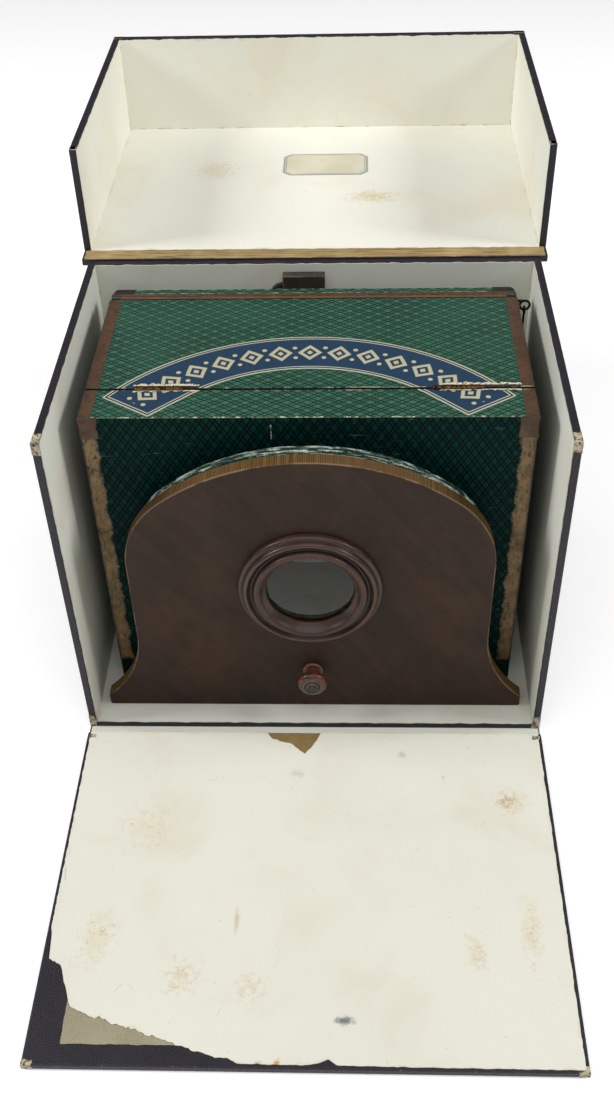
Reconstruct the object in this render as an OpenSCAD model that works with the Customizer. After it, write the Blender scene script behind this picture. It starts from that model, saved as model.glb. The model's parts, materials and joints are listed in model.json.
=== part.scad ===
// Peep-show viewer with a bellows front, a hinged top flap and a rear door, stored in its fall-front case.
// Millimetres, +Z up. The origin is the centre of the case floor's underside, and -Y is the lens side.

/* [Viewer box] */
// Outer width of the wooden box
box_w = 265; // [240:1:290]
// Height of the box from the surface it stands on
box_h = 220.6; // [205:0.2:240]
// Thickness of the side, bottom and front boards
box_t = 6; // [4.5:0.5:8]
// Thickness of the top rail and of the top flap
top_t = 5; // [4:0.5:7]
// Depth of the fixed rail along the front of the top
rail_d = 28; // [22:1:36]
// Depth of the top flap from its hinge side to its free edge
flap_d = 102.6; // [85:0.2:125]
// Height of the underside of the box bottom above the surface
skirt_h = 8.8; // [8.6:0.2:12]
// Thickness of the frame behind the view
rear_frame_t = 3; // [2:0.5:5]
// Width of the stiles of the rear frame
rear_stile_w = 16.5; // [12:0.5:24]
// Height of the top rail of the rear frame
rear_rail_h = 12; // [8:0.5:18]
// Height of the bottom rail of the rear frame
rear_foot_h = 33; // [30:0.5:40]
// Height of the sill that carries the door hinges
sill_h = 14.6; // [12:0.2:20]

/* [Rear door] */
// Thickness of the rear door
door_t = 5.5; // [4.5:0.5:8]
// Radius of the door's two top corners
door_corner_r = 4; // [2:0.5:8]
// Width of the pull block at the top of the door
tab_w = 28; // [20:1:40]
// Height of the pull block
tab_h = 26; // [18:1:34]
// Thickness of the pull block
tab_t = 7; // [5:0.5:9]
// How far the pull block stands above the door
tab_rise = 9; // [6:0.5:11]
// Sideways place of the pull block
tab_x = -6; // [-20:1:20]
// Radius of the leather pull beside the block
pull_r = 8; // [6:0.5:10]
// Thickness of the leather pull
pull_t = 2.4; // [1.5:0.1:4]

/* [View] */
// Thickness of the framed view
view_t = 3.2; // [3:0.1:5]
// Height above the box bottom of the ledge that the view stands on
ledge_h = 9.8; // [5:0.2:16]
// Width of the bars of the view's stretcher
view_bar_w = 12; // [8:0.5:16]
// Thickness of the view's paper
sheet_t = 0.4; // [0.2:0.1:0.8]
// Width of the fillets that guide the view
guide_w = 8; // [6:0.5:10]
// Thickness of the fillets that guide the view
guide_t = 3.7; // [3:0.1:6]

/* [Front board] */
// Width of the front board at its feet
foot_w = 276; // [262:1:286]
// Width of the front board between its straight sides
waist_w = 225.6; // [215:0.2:235]
// Height of the front board
front_h = 206.1; // [198:0.1:212]
// Height at which the sides turn into the arch
spring_h = 126.8; // [118:0.2:132]
// Radius of the shoulders of the arch
shoulder_r = 62; // [52:1:66]
// Height at which the sides turn into the concave feet
cove_h = 65; // [50:1:80]
// Height of the straight ends of the feet
foot_h = 9; // [5:0.5:16]
// Thickness of the front board
front_t = 9.3; // [8:0.1:12]
// Height of the lens axis above the surface
lens_h = 109.3; // [104:0.1:114]
// Height of the knob above the surface
knob_h = 34.8; // [30:0.2:42]

/* [Lens and knob] */
// Outer radius of the turned lens ring
ring_r = 44.6; // [41:0.1:48]
// How far the lens ring stands in front of the board
ring_t = 9; // [7:0.5:12]
// Radius of the two beads turned on the ring
bead_r = 2.7; // [2:0.1:3]
// Radius of the hollow between the beads
hollow_r = 4; // [3:0.1:5]
// Distance of the inner bead from the edge of the clear opening
bead_inset = 6; // [5:0.1:7]
// Radius of the clear opening over the lens
sight_r = 27.3; // [25:0.1:28]
// Radius of the lens
lens_r = 29; // [28.5:0.1:30]
// Thickness of the lens at its centre
lens_mid_t = 7; // [5:0.5:8]
// Thickness of the lens at its rim
lens_rim_t = 2.4; // [1.5:0.1:3]
// Thickness of the ring's lip in front of the lens
lens_lip_t = 2; // [1.4:0.1:2.4]
// Radius of the part of the ring that enters the board
spigot_r = 31.5; // [31:0.1:33]
// Thickness of the brass ring that holds the lens
retainer_t = 2.2; // [1.5:0.1:2.6]
// Largest radius of the knob
knob_r = 9.7; // [8:0.1:11]
// How far the knob stands in front of the board
knob_reach = 17.5; // [15:0.5:22]
// Radius of the knob's shank in the board
knob_shank_r = 3; // [2:0.1:4]
// Radius of the knob's collar on the board
knob_collar_r = 6.6; // [5:0.1:8]
// Thickness of the knob's collar
knob_collar_t = 2; // [1.5:0.1:3]
// Radius of the knob's neck
knob_neck_r = 3.7; // [3.2:0.1:5]
// Thickness of the knob's head
knob_head_t = 7.4; // [6:0.1:9]
// Radius of the raised ring on the knob's face
knob_face_r = 6.8; // [5:0.1:7.5]
// Radius of the raised middle of the knob's face
knob_boss_r = 4.2; // [3:0.1:4.8]
// Radius of the tip in the middle of the knob's face
knob_tip_r = 1.9; // [1:0.1:2.6]

/* [Bellows and tongue] */
// Length of the bellows when folded
bellows_d = 15; // [13:0.5:18]
// Number of pleats
pleats = 4; // [3:1:5]
// Height of a pleat from its valley to its edge
pleat_h = 8; // [6:0.5:9]
// How far the pleat edges lie inside the outline of the front board
bellows_inset = 4; // [3:0.5:8]
// Width of a fold's wall, measured across the opening
fold_w = 2.2; // [1.8:0.1:3]
// Height of the underside of the bellows above the surface
bellows_foot = 12; // [10.5:0.5:16]
// How much narrower than the box the tongue is that carries the front board
tongue_room = 65; // [62:1:100]
// Thickness of the tongue
tongue_t = 5.6; // [4:0.2:6]
// How far the front board draws out to focus
focus_travel = 60; // [40:1:80]
// Width of each stop ear at the back of the tongue
ear_w = 6; // [4:0.5:8]
// Length of each stop ear at the back of the tongue
ear_l = 10; // [6:0.5:16]
// Width of the lip under the tongue
lip_w = 5; // [3:0.5:8]
// Width of the solid part of a runner
runner_w = 12; // [8:0.5:16]

/* [Hinges, mirror and hook] */
// Length of each hinge
hinge_len = 30; // [24:1:44]
// Distance from the middle of the box to each hinge
hinge_x = 88; // [60:1:100]
// Radius of the hinge barrels
barrel_r = 2; // [1.6:0.1:2.4]
// Radius of the hinge pins
pin_r = 0.9; // [0.6:0.1:1.1]
// Thickness of the hinge leaves
leaf_t = 0.8; // [0.5:0.1:1]
// Width of each hinge leaf
leaf_w = 11; // [8:0.5:12]
// Thickness of the mirror under the flap
mirror_t = 2; // [1:0.1:3]
// Space between the mirror and the edges of the flap
mirror_margin = 13; // [12:0.5:20]
// Radius of the screw eye, to the middle of its wire
eye_r = 3.2; // [2.8:0.1:4]
// Radius of the wire of the screw eye
eye_wire_r = 0.8; // [0.6:0.05:0.9]
// Distance of the middle of the eye from the side of the box
eye_stand = 4.8; // [4.6:0.1:5.4]
// Distance of the eye below the top of the box
eye_drop = 3.6; // [2:0.1:8]
// Distance of the eye in front of the middle of the door's edge
eye_back = 14; // [12:0.5:18]
// Radius of the hook's own eye, to the middle of its wire
hook_eye_r = 2.2; // [2.1:0.05:2.4]
// Radius of the wire of the hook
hook_wire_r = 0.7; // [0.5:0.05:0.8]
// Radius of the bend at the tip of the hook
hook_bend_r = 2.2; // [1.8:0.1:3]
// Length of the straight tip of the hook
hook_tip = 2; // [1:0.1:3]
// Radius of the catch pin in the edge of the door
catch_r = 1; // [0.7:0.1:1.2]

/* [Case] */
// Thickness of the case's pasteboard
board_t = 4.5; // [3.5:0.1:6]
// Thickness of the paper lining
lining_t = 0.5; // [0.3:0.1:0.8]
// Room for fingers between the box and each side of the case
side_gap = 12.5; // [11:0.5:18]
// Room behind the pull block
rear_gap = 6.3; // [5:0.1:12]
// Room between the pull block and the shut lid
head_gap = 2.7; // [2:0.1:6]
// Distance from the walls' front edges to the lining of the shut drop front
front_slack = 2.1; // [1.2:0.1:2.6]
// How far the shut drop front ends below the top of the walls
drop_short = 9.2; // [4:0.2:20]
// Height of the lid's walls
lid_wall_h = 71; // [50:1:90]
// Width of the bare strip of board at the lid's hinge
bare_strip = 12.3; // [8:0.1:18]
// Thickness of the hinge cloth
cloth_t = 0.5; // [0.3:0.1:0.7]
// Width of the hinge cloth on the back wall
cloth_w = 26; // [16:1:40]
// Width of the paper label in the lid
label_w = 63; // [40:1:80]
// Depth of the paper label in the lid
label_d = 36; // [20:1:44]
// Size of the label's cut corners
label_cut = 5; // [3:0.5:7]
// Thickness of the paper label
label_t = 0.3; // [0.2:0.1:0.5]
// Distance from the lid's hinge to the middle of the label
label_y = 142; // [100:1:170]
// Sideways place of the label
label_x = 6; // [-20:1:20]

/* [Clearances] */
// Gap under the viewer, and between faces that slide
slide_gap = 0.3; // [0.2:0.05:0.5]
// Gap under the feet of the viewer
foot_gap = 0.2; // [0.1:0.05:0.4]
// Gap along the split between the top rail and the flap
split_gap = 0.8; // [0.6:0.1:1.2]
// Gap behind the free edge of the flap
flap_gap = 0.4; // [0.3:0.05:0.6]
// Gap between the drop front or the walls and the lid around them
lid_gap = 0.4; // [0.3:0.05:0.8]
// Gap between the knob and the shut drop front
knob_gap = 0.6; // [0.4:0.1:2]
// Radial clearance of the hinge pins
pin_gap = 0.05; // [0.02:0.01:0.1]
// Gap around the hinge barrels in the boards
barrel_gap = 0.3; // [0.2:0.05:0.5]
// Play of the hook's eye on the screw eye
eye_play = 0.2; // [0.15:0.01:0.3]
// Distance of the drop front's edge from its hinge line
hinge_gap = 0.9; // [0.8:0.1:1.5]

/* [Hidden] */
$fn = 64;

pasteboard = "#2a2730";
cream = "#e6e3d8";
green = "#2c6b55";
tape = "#7a5a3a";
mahogany = "#4a2c24";
iron = "#2a2a2c";
brass = "#a8863f";

// Lengths along the box, counted from its front face
flap_v = rail_d + split_gap;
flap_end_v = flap_v + flap_d;
slot_v = flap_end_v + flap_gap;
view_v = slot_v + slide_gap;
frame_v = view_v + view_t + slide_gap;
frame_end_v = frame_v + rear_frame_t;
door_v = frame_end_v + slide_gap;
door_end_v = door_v + door_t;

// The case is cut to fit the viewer with the rooms named above
case_w = box_w + 2 * (side_gap + lining_t + board_t);
case_d = knob_gap - front_slack + knob_reach + front_t + bellows_d + door_end_v + tab_t + rear_gap
    + lining_t + board_t;
seat_z = board_t + lining_t + foot_gap;
box_top = seat_z + box_h;
case_h = box_top + tab_rise + head_gap;
case_front = -case_d / 2;
case_back = case_d / 2;

// Places along Y in the part's own frame
shut_face_y = case_front - front_slack;
drop_hinge_y = shut_face_y - lining_t - board_t;
knob_tip_y = shut_face_y + knob_gap;
board_front_y = knob_tip_y + knob_reach;
board_back_y = board_front_y + front_t;
box_front_y = board_back_y + bellows_d;

drop_len = case_h - drop_short;
lid_hinge_z = case_h + lining_t + lid_gap / 2;
lid_len = case_back - drop_hinge_y + lid_gap + board_t;
lid_inner_w = case_w + 2 * lid_gap;
lid_w = lid_inner_w + 2 * board_t;

bottom_z = seat_z + skirt_h;
inner_w = box_w - 2 * box_t;
board_top_z = box_top - top_t;
view_w = inner_w - 2 * slide_gap;
view_bottom = bottom_z + box_t + ledge_h;
door_bottom = seat_z + sill_h + slide_gap;
tongue_z = bottom_z - slide_gap - tongue_t;
ear_front_v = box_t + focus_travel + slide_gap;
tongue_end_v = ear_front_v + ear_l;
tongue_w = box_w - tongue_room;
channel_w = tongue_w + 2 * (ear_w + slide_gap);

flap_hinge_v = rail_d + split_gap / 2;
barrel_stand = barrel_r + barrel_gap / 3;
door_hinge_v = door_end_v + barrel_stand;
door_hinge_z = door_bottom - slide_gap / 2;

catch_v = door_v + door_t / 2;
eye_v = catch_v - eye_back;
eye_z = box_top - eye_drop;
eye_x = box_w / 2 + eye_stand;
pivot_z = eye_z - eye_r;
catch_z = pivot_z - hook_wire_r - catch_r - eye_play;
hook_reach = eye_back + catch_r + hook_bend_r;

// How far an arc overlaps the line or arc that it runs into
arc_lap = 0.05;
// How far a cut runs past the faces that it goes through
cut = 1;
// How far the spigot of the ring and the shank of the knob end short of the board's back
short = 1;

// Radius of the crown of the arch, which meets both shoulders smoothly
rise = front_h - spring_h;
crown_r = (pow(waist_w / 2 - shoulder_r, 2) + rise * rise - shoulder_r * shoulder_r)
    / (2 * (rise - shoulder_r));

// The lens bulges past its rim, so both the lip and the retainer stand off by its sag there
lens_bulge = (lens_mid_t - lens_rim_t) / 2;
lens_sag = lens_bulge * (1 - pow(sight_r / lens_r, 2)) + pin_gap;
lens_front = ring_t - 2 * bead_r - lens_lip_t;
lens_mid = lens_front - lens_sag - lens_rim_t / 2;
retainer_front = lens_mid - lens_rim_t / 2 - lens_sag;

// Radius of the concave feet, upright where it meets the straight sides
flare = (foot_w - waist_w) / 2;
cove_drop = cove_h - foot_h;
cove_r = (flare * flare + cove_drop * cove_drop) / (2 * flare);

module slab(x0, x1, y0, y1, z0, z1) {
    translate([x0, y0, z0]) cube([x1 - x0, y1 - y0, z1 - z0]);
}

module centred_slab(width, y0, y1, z0, z1) {
    slab(-width / 2, width / 2, y0, y1, z0, z1);
}

// Moves its children so that y = 0 is the front face of the box
module in_box() {
    translate([0, box_front_y, 0]) children();
}

// Stands an outline drawn in X and height upright, with its thickness along +Y
module upright(thickness) {
    translate([0, thickness, 0]) rotate([90, 0, 0]) linear_extrude(thickness) children();
}

// Basket-handle arch of the front board, drawn inwards by an inset, from a base height upwards
module arch(inset, base, sides = 128) {
    crown_z = front_h - crown_r;
    reach = 2 * front_h;
    side = waist_w / 2 - shoulder_r;
    tangent = [side, spring_h - crown_z] / norm([side, spring_h - crown_z]) * reach;
    intersection() {
        translate([0, crown_z]) circle(crown_r - inset, $fn = sides);
        polygon([
            [0, crown_z],
            [tangent[0], crown_z + tangent[1]],
            [-tangent[0], crown_z + tangent[1]]
        ]);
    }
    for (hand = [-1, 1]) translate([hand * side, spring_h])
        circle(shoulder_r + arc_lap - inset, $fn = sides);
    translate([inset - waist_w / 2, base]) square([waist_w - 2 * inset, spring_h - base]);
}

// Outline of the front board: the arch on two feet with concave sides
module lyre() {
    arch(0, 0);
    for (hand = [-1, 1]) difference() {
        translate([hand > 0 ? 0 : -foot_w / 2, 0]) square([foot_w / 2, cove_h]);
        translate([hand * (waist_w / 2 + cove_r), cove_h]) circle(cove_r + arc_lap, $fn = 128);
    }
}

module case_floor() {
    color(pasteboard) centred_slab(case_w, case_front, case_back, 0, board_t);
}

module case_side(hand) {
    color(pasteboard) scale([hand, 1, 1])
        slab(case_w / 2 - board_t, case_w / 2, case_front, case_back - board_t, board_t, case_h);
}

module case_left_wall() {
    case_side(-1);
}

module case_right_wall() {
    case_side(1);
}

module case_back_wall() {
    color(pasteboard) centred_slab(case_w, case_back - board_t, case_back, board_t, case_h);
}

module case_lining() {
    inner = case_w - 2 * board_t;
    inner_back = case_back - board_t;
    color(cream) {
        centred_slab(inner, case_front, inner_back, board_t, board_t + lining_t);
        centred_slab(inner, inner_back - lining_t, inner_back, board_t + lining_t, case_h);
        for (hand = [-1, 1]) scale([hand, 1, 1])
            slab(inner / 2 - lining_t, inner / 2, case_front, inner_back - lining_t,
                board_t + lining_t, case_h);
    }
}

module front_hinge_cloth() {
    color(pasteboard) centred_slab(case_w, drop_hinge_y, case_front, 0, cloth_t);
}

module lid_hinge_cloth() {
    top = lid_hinge_z - board_t - lid_gap;
    color(pasteboard) centred_slab(case_w, case_back, case_back + cloth_t, top - cloth_w, top);
}

module drop_front_board() {
    color(pasteboard)
        centred_slab(case_w, drop_hinge_y - drop_len, drop_hinge_y - hinge_gap, 0, board_t);
}

module drop_front_lining() {
    color(cream) centred_slab(case_w - board_t, drop_hinge_y - drop_len + board_t / 2,
        drop_hinge_y - hinge_gap, board_t, board_t + lining_t);
}

// The lid lies open behind the case, its inner side up
module lid_panel() {
    color(pasteboard) centred_slab(lid_w, case_back + lid_gap, case_back + lid_len,
        lid_hinge_z - board_t, lid_hinge_z);
}

module lid_front_lip() {
    color(pasteboard) centred_slab(lid_w, case_back + lid_len - board_t, case_back + lid_len,
        lid_hinge_z, lid_hinge_z + lid_wall_h);
}

module lid_side(hand) {
    color(pasteboard) scale([hand, 1, 1])
        slab(lid_inner_w / 2, lid_w / 2, case_back + bare_strip, case_back + lid_len - board_t,
            lid_hinge_z, lid_hinge_z + lid_wall_h);
}

module lid_left_wall() {
    lid_side(-1);
}

module lid_right_wall() {
    lid_side(1);
}

module lid_lining() {
    color(cream) centred_slab(lid_inner_w, case_back + bare_strip, case_back + lid_len - board_t,
        lid_hinge_z, lid_hinge_z + lining_t);
}

module lid_label() {
    x = label_w / 2;
    y = label_d / 2;
    c = label_cut;
    color("#cfc8a8") translate([label_x, case_back + label_y, lid_hinge_z + lining_t])
        linear_extrude(label_t) polygon([
            [c - x, -y], [x - c, -y], [x, c - y], [x, y - c],
            [x - c, y], [c - x, y], [-x, y - c], [-x, c - y]
        ]);
}

module box_bottom() {
    color(tape) in_box() centred_slab(inner_w, box_t, frame_v, bottom_z, bottom_z + box_t);
}

// Side board with an upstand that closes the end of the view's slot
module box_side(hand) {
    color(green) in_box() scale([hand, 1, 1]) {
        slab(box_w / 2 - box_t, box_w / 2, box_t, frame_v, seat_z, board_top_z - foot_gap);
        slab(box_w / 2 - box_t, box_w / 2, slot_v, frame_v, board_top_z - foot_gap, box_top);
    }
}

module box_left_side() {
    box_side(-1);
}

module box_right_side() {
    box_side(1);
}

module box_front_panel() {
    color(green) in_box() difference() {
        centred_slab(box_w, 0, box_t, seat_z, board_top_z - foot_gap);
        translate([0, -cut, seat_z]) upright(box_t + 2 * cut)
            arch(bellows_inset + pleat_h + 2 * fold_w, bellows_foot + pleat_h + 2 * fold_w);
        centred_slab(tongue_w + 2 * slide_gap, -cut, box_t + cut, seat_z - cut, bottom_z);
    }
}

// Runs its children at both hinges
module at_hinges() {
    for (hand = [-1, 1]) translate([hand * hinge_x, 0, 0]) children();
}

// Groove for a barrel and recess for a leaf, in the top of a board that lies on the given side
module flap_hinge_recess(hand) {
    at_hinges() {
        rotate([0, 90, 0])
            cylinder(r = barrel_r + barrel_gap, h = hinge_len + 2 * barrel_gap, center = true);
        scale([1, hand, 1])
            centred_slab(hinge_len + 2 * barrel_gap, 0, leaf_w + barrel_gap, -leaf_t, cut);
    }
}

module at_flap_hinge() {
    in_box() translate([0, flap_hinge_v, box_top]) children();
}

module box_top_rail() {
    color(green) difference() {
        in_box() centred_slab(box_w, 0, rail_d, board_top_z - foot_gap, box_top);
        at_flap_hinge() flap_hinge_recess(-1);
    }
}

module rear_frame() {
    half = box_w / 2;
    open_half = half - rear_stile_w;
    color(green) in_box() {
        for (hand = [-1, 1]) scale([hand, 1, 1])
            slab(open_half, half, frame_v, frame_end_v, seat_z, box_top);
        centred_slab(2 * open_half, frame_v, frame_end_v, box_top - rear_rail_h, box_top);
        centred_slab(2 * open_half, frame_v, frame_end_v, seat_z, seat_z + rear_foot_h);
    }
}

module rear_sill() {
    color(green) in_box() centred_slab(box_w, frame_end_v, door_end_v, seat_z, seat_z + sill_h);
}

// Two upright fillets in front of the view and the ledge that it stands on
module view_guides() {
    color(tape) in_box() {
        for (hand = [-1, 1]) scale([hand, 1, 1])
            slab(inner_w / 2 - guide_w, inner_w / 2, slot_v - guide_t, slot_v,
                bottom_z + box_t, board_top_z - mirror_t);
        centred_slab(inner_w, slot_v, frame_v, bottom_z + box_t, view_bottom);
    }
}

// Rails under the box bottom, with a lip that carries the tongue
module tongue_runners() {
    lip_top = tongue_z - slide_gap;
    color(tape) in_box() for (hand = [-1, 1]) scale([hand, 1, 1]) {
        slab(channel_w / 2, channel_w / 2 + runner_w, box_t, frame_v, seat_z, bottom_z);
        slab(channel_w / 2 - lip_w, channel_w / 2, box_t, frame_v, seat_z, lip_top);
    }
}

// Stack of pleats between the box and the front board, as a solid of one size
module pleat_stack(inset, overrun) {
    pitch = (bellows_d + 2 * overrun) / pleats;
    foot = bellows_foot + inset - bellows_inset;
    mid = (front_h + foot) / 2;
    half = [waist_w / 2 - inset, (front_h - inset - foot) / 2];
    shrink = [1 - pleat_h / half[0], 1 - pleat_h / half[1]];
    for (i = [0:pleats - 1], way = [0, 1])
        translate([0, (i + 0.5) * pitch - overrun, mid]) mirror([0, way, 0]) rotate([90, 0, 0])
            linear_extrude(pitch / 2, scale = shrink, slices = 1)
                translate([0, -mid]) arch(inset, foot, 40);
}

module bellows() {
    color("#3f7d68") translate([0, board_back_y, seat_z]) difference() {
        pleat_stack(bellows_inset, 0);
        pleat_stack(bellows_inset + fold_w, 0.05);
    }
}

// One half of a hinge about the X axis: a leaf towards +Y with its own knuckles of the barrel.
// The leaf lies from plate_low upwards by its thickness.
module hinge_half(plate_low, first) {
    knuckles = 5;
    pitch = hinge_len / knuckles;
    side_gap_x = barrel_gap / 3;
    difference() {
        union() {
            centred_slab(hinge_len, barrel_r + barrel_gap, leaf_w, plate_low, plate_low + leaf_t);
            for (i = [first:2:knuckles - 1]) translate([(i - (knuckles - 1) / 2) * pitch, 0, 0]) {
                width = pitch - 2 * side_gap_x;
                rotate([0, 90, 0]) cylinder(r = barrel_r, h = width, center = true);
                centred_slab(width, 0, barrel_r + barrel_gap, plate_low, plate_low + leaf_t);
            }
        }
        rotate([0, 90, 0])
            cylinder(r = pin_r + pin_gap, h = hinge_len + 2 * cut, center = true, $fn = 32);
    }
}

module hinge_pins() {
    at_hinges() rotate([0, 90, 0]) cylinder(r = pin_r, h = hinge_len, center = true, $fn = 32);
}

module flap_hinge_fixed_leaves() {
    color(brass) at_flap_hinge() at_hinges() rotate([0, 0, 180]) hinge_half(-leaf_t, 0);
}

module flap_hinge_moving_leaves() {
    color(brass) at_flap_hinge() at_hinges() hinge_half(-leaf_t, 1);
}

module flap_hinge_pins() {
    color(iron) at_flap_hinge() hinge_pins();
}

module at_door_hinge() {
    in_box() translate([0, door_hinge_v, door_hinge_z]) children();
}

module door_hinge_fixed_leaves() {
    color(brass) at_door_hinge() at_hinges() rotate([-90, 0, 0]) hinge_half(-barrel_stand, 0);
}

module door_hinge_moving_leaves() {
    color(brass) at_door_hinge() at_hinges()
        mirror([0, 0, 1]) rotate([-90, 0, 0]) hinge_half(-barrel_stand, 1);
}

module door_hinge_pins() {
    color(iron) at_door_hinge() hinge_pins();
}

module top_flap_board() {
    color(green) difference() {
        in_box() centred_slab(box_w, flap_v, flap_end_v, board_top_z, box_top);
        at_flap_hinge() flap_hinge_recess(1);
    }
}

module flap_mirror() {
    color("silver") in_box() centred_slab(inner_w - mirror_margin,
        flap_v + mirror_margin, slot_v - guide_t - slide_gap, board_top_z - mirror_t, board_top_z);
}

module rear_door_board() {
    r = door_corner_r;
    color(green) in_box() translate([0, door_v, 0]) upright(door_t) {
        translate([-box_w / 2, door_bottom]) square([box_w, box_top - r - door_bottom]);
        translate([r - box_w / 2, door_bottom]) square([box_w - 2 * r, box_top - door_bottom]);
        for (hand = [-1, 1]) translate([hand * (box_w / 2 - r), box_top - r]) circle(r, $fn = 32);
    }
}

module door_pull_block() {
    top = box_top + tab_rise;
    color(mahogany) in_box() translate([tab_x, 0, 0])
        centred_slab(tab_w, door_end_v, door_end_v + tab_t, top - tab_h, top);
}

// Leather tongue with a round end beside the pull block
module door_leather_pull() {
    color("#151515") in_box()
        translate([tab_x - tab_w / 2 - slide_gap / 3, door_end_v, box_top - pull_r / 2])
            upright(pull_t) difference() {
                union() {
                    circle(pull_r, $fn = 48);
                    translate([-pull_r, -2 * pull_r]) square([2 * pull_r, 2 * pull_r]);
                }
                translate([0, -3 * pull_r]) square([2 * pull_r, 5 * pull_r]);
            }
}

module door_catch_pin() {
    color(iron) in_box() translate([box_w / 2, catch_v, catch_z])
        rotate([0, 90, 0]) cylinder(r = catch_r, h = eye_stand + eye_wire_r, $fn = 24);
}

// Wire ring with its stem, in an upright plane across the box
module hook_screw_eye() {
    color(iron) in_box() translate([eye_x, eye_v, eye_z]) {
        rotate([90, 0, 0]) rotate_extrude() translate([eye_r, 0]) circle(eye_wire_r, $fn = 20);
        translate([-eye_stand, 0, 0]) rotate([0, 90, 0])
            cylinder(r = eye_wire_r, h = eye_stand - eye_r, $fn = 20);
    }
}

module stay_hook() {
    drop = hook_eye_r - hook_wire_r - eye_wire_r - eye_play;
    color(iron) in_box() translate([eye_x, eye_v, pivot_z]) {
        translate([0, 0, -drop]) rotate([0, 90, 0])
            rotate_extrude() translate([hook_eye_r, 0]) circle(hook_wire_r, $fn = 20);
        translate([0, 0, -hook_reach])
            cylinder(r = hook_wire_r, h = hook_reach - drop - hook_eye_r, $fn = 20);
        translate([0, -hook_bend_r, -hook_reach]) rotate([0, 90, 0])
            rotate_extrude(angle = 90) translate([hook_bend_r, 0]) circle(hook_wire_r, $fn = 20);
        translate([0, -hook_bend_r, -hook_reach - hook_bend_r]) rotate([90, 0, 0])
            cylinder(r = hook_wire_r, h = hook_tip, $fn = 20);
    }
}

module front_board() {
    color(mahogany) translate([0, board_front_y, seat_z]) difference() {
        upright(front_t) lyre();
        translate([0, front_t + cut, lens_h]) rotate([90, 0, 0])
            cylinder(r = spigot_r + pin_gap, h = front_t + 2 * cut, $fn = 96);
        translate([0, front_t + cut, knob_h]) rotate([90, 0, 0])
            cylinder(r = knob_shank_r + pin_gap, h = front_t + 2 * cut, $fn = 32);
    }
}

// Sliding board with two ears that stop against the back of the front panel
module focus_tongue() {
    color(tape) {
        centred_slab(tongue_w, board_back_y, box_front_y + tongue_end_v,
            tongue_z, tongue_z + tongue_t);
        in_box() centred_slab(tongue_w + 2 * ear_w, ear_front_v, tongue_end_v,
            tongue_z, tongue_z + tongue_t);
    }
}

// Revolves a profile of [radius, distance in front of the board] about an axis at a height
module turned(height) {
    translate([0, board_front_y, seat_z + height]) rotate([90, 0, 0]) rotate_extrude($fn = 96)
        children();
}

// Turned ring: an outer bead, a hollow, a raised bead and a bevel down to the glass
module lens_ring() {
    rim_r = ring_r - bead_r;
    shelf = ring_t - bead_r;
    inner_bead_r = sight_r + bead_inset;
    color(mahogany) turned(lens_h) difference() {
        union() {
            translate([sight_r, 0]) square([rim_r - sight_r, shelf]);
            translate([rim_r, 0]) square(bead_r);
            translate([rim_r, bead_r]) circle(bead_r, $fn = 32);
            translate([inner_bead_r, shelf]) circle(bead_r, $fn = 32);
            translate([sight_r, short - front_t]) square([spigot_r - sight_r, front_t]);
        }
        translate([rim_r - bead_r - hollow_r / 2, ring_t]) circle(hollow_r, $fn = 48);
        translate([sight_r - cut, shelf - bead_r]) rotate(45) square(3 * bead_r);
        translate([0, -front_t]) square([lens_r + pin_gap, front_t + lens_front]);
        translate([0, -front_t]) square([sight_r, 2 * (front_t + ring_t)]);
    }
}

// Lens of two equal faces, seated against the ring's inner lip
module lens() {
    face_r = (lens_r * lens_r + lens_bulge * lens_bulge) / (2 * lens_bulge);
    color("#9fb3b0", 0.5) turned(lens_h) translate([0, lens_mid])
        intersection() {
            intersection_for(way = [-1, 1])
                translate([0, way * (lens_mid_t / 2 - face_r)]) circle(face_r, $fn = 256);
            translate([0, -lens_mid_t]) square([lens_r, 2 * lens_mid_t]);
        }
}

module lens_retainer() {
    color(brass) turned(lens_h) translate([sight_r, retainer_front - retainer_t])
        square([lens_r - sight_r, retainer_t]);
}

// Turned knob: a collar on the board, a neck, a round head and rings on its face
module focus_knob() {
    half = knob_head_t / 2;
    face = knob_reach - half / 2;
    color(mahogany) turned(knob_h) {
        translate([0, short - front_t]) square([knob_shank_r, front_t]);
        square([knob_collar_r, knob_collar_t]);
        translate([0, knob_collar_t]) square([knob_neck_r, face - half - knob_collar_t]);
        intersection() {
            translate([0, face - half]) scale([1, half / knob_r]) circle(knob_r, $fn = 96);
            translate([0, face - 2 * half]) square([knob_r, 2 * half - half / 4]);
        }
        translate([0, face - half]) square([knob_face_r, half]);
        translate([0, face - half]) square([knob_boss_r, half + half / 4]);
        square([knob_tip_r, knob_reach]);
    }
}

module view_frame() {
    half = view_w / 2;
    bar_v = view_v + sheet_t;
    bar_end_v = view_v + view_t;
    color("#b08a5a") in_box() {
        for (hand = [-1, 1]) scale([hand, 1, 1])
            slab(half - view_bar_w, half, bar_v, bar_end_v, view_bottom, box_top);
        for (low = [view_bottom, box_top - view_bar_w])
            centred_slab(view_w - 2 * view_bar_w, bar_v, bar_end_v, low, low + view_bar_w);
    }
}

module view_sheet() {
    color("#c9c2a4") in_box() centred_slab(view_w, view_v, view_v + sheet_t, view_bottom, box_top);
}

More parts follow.
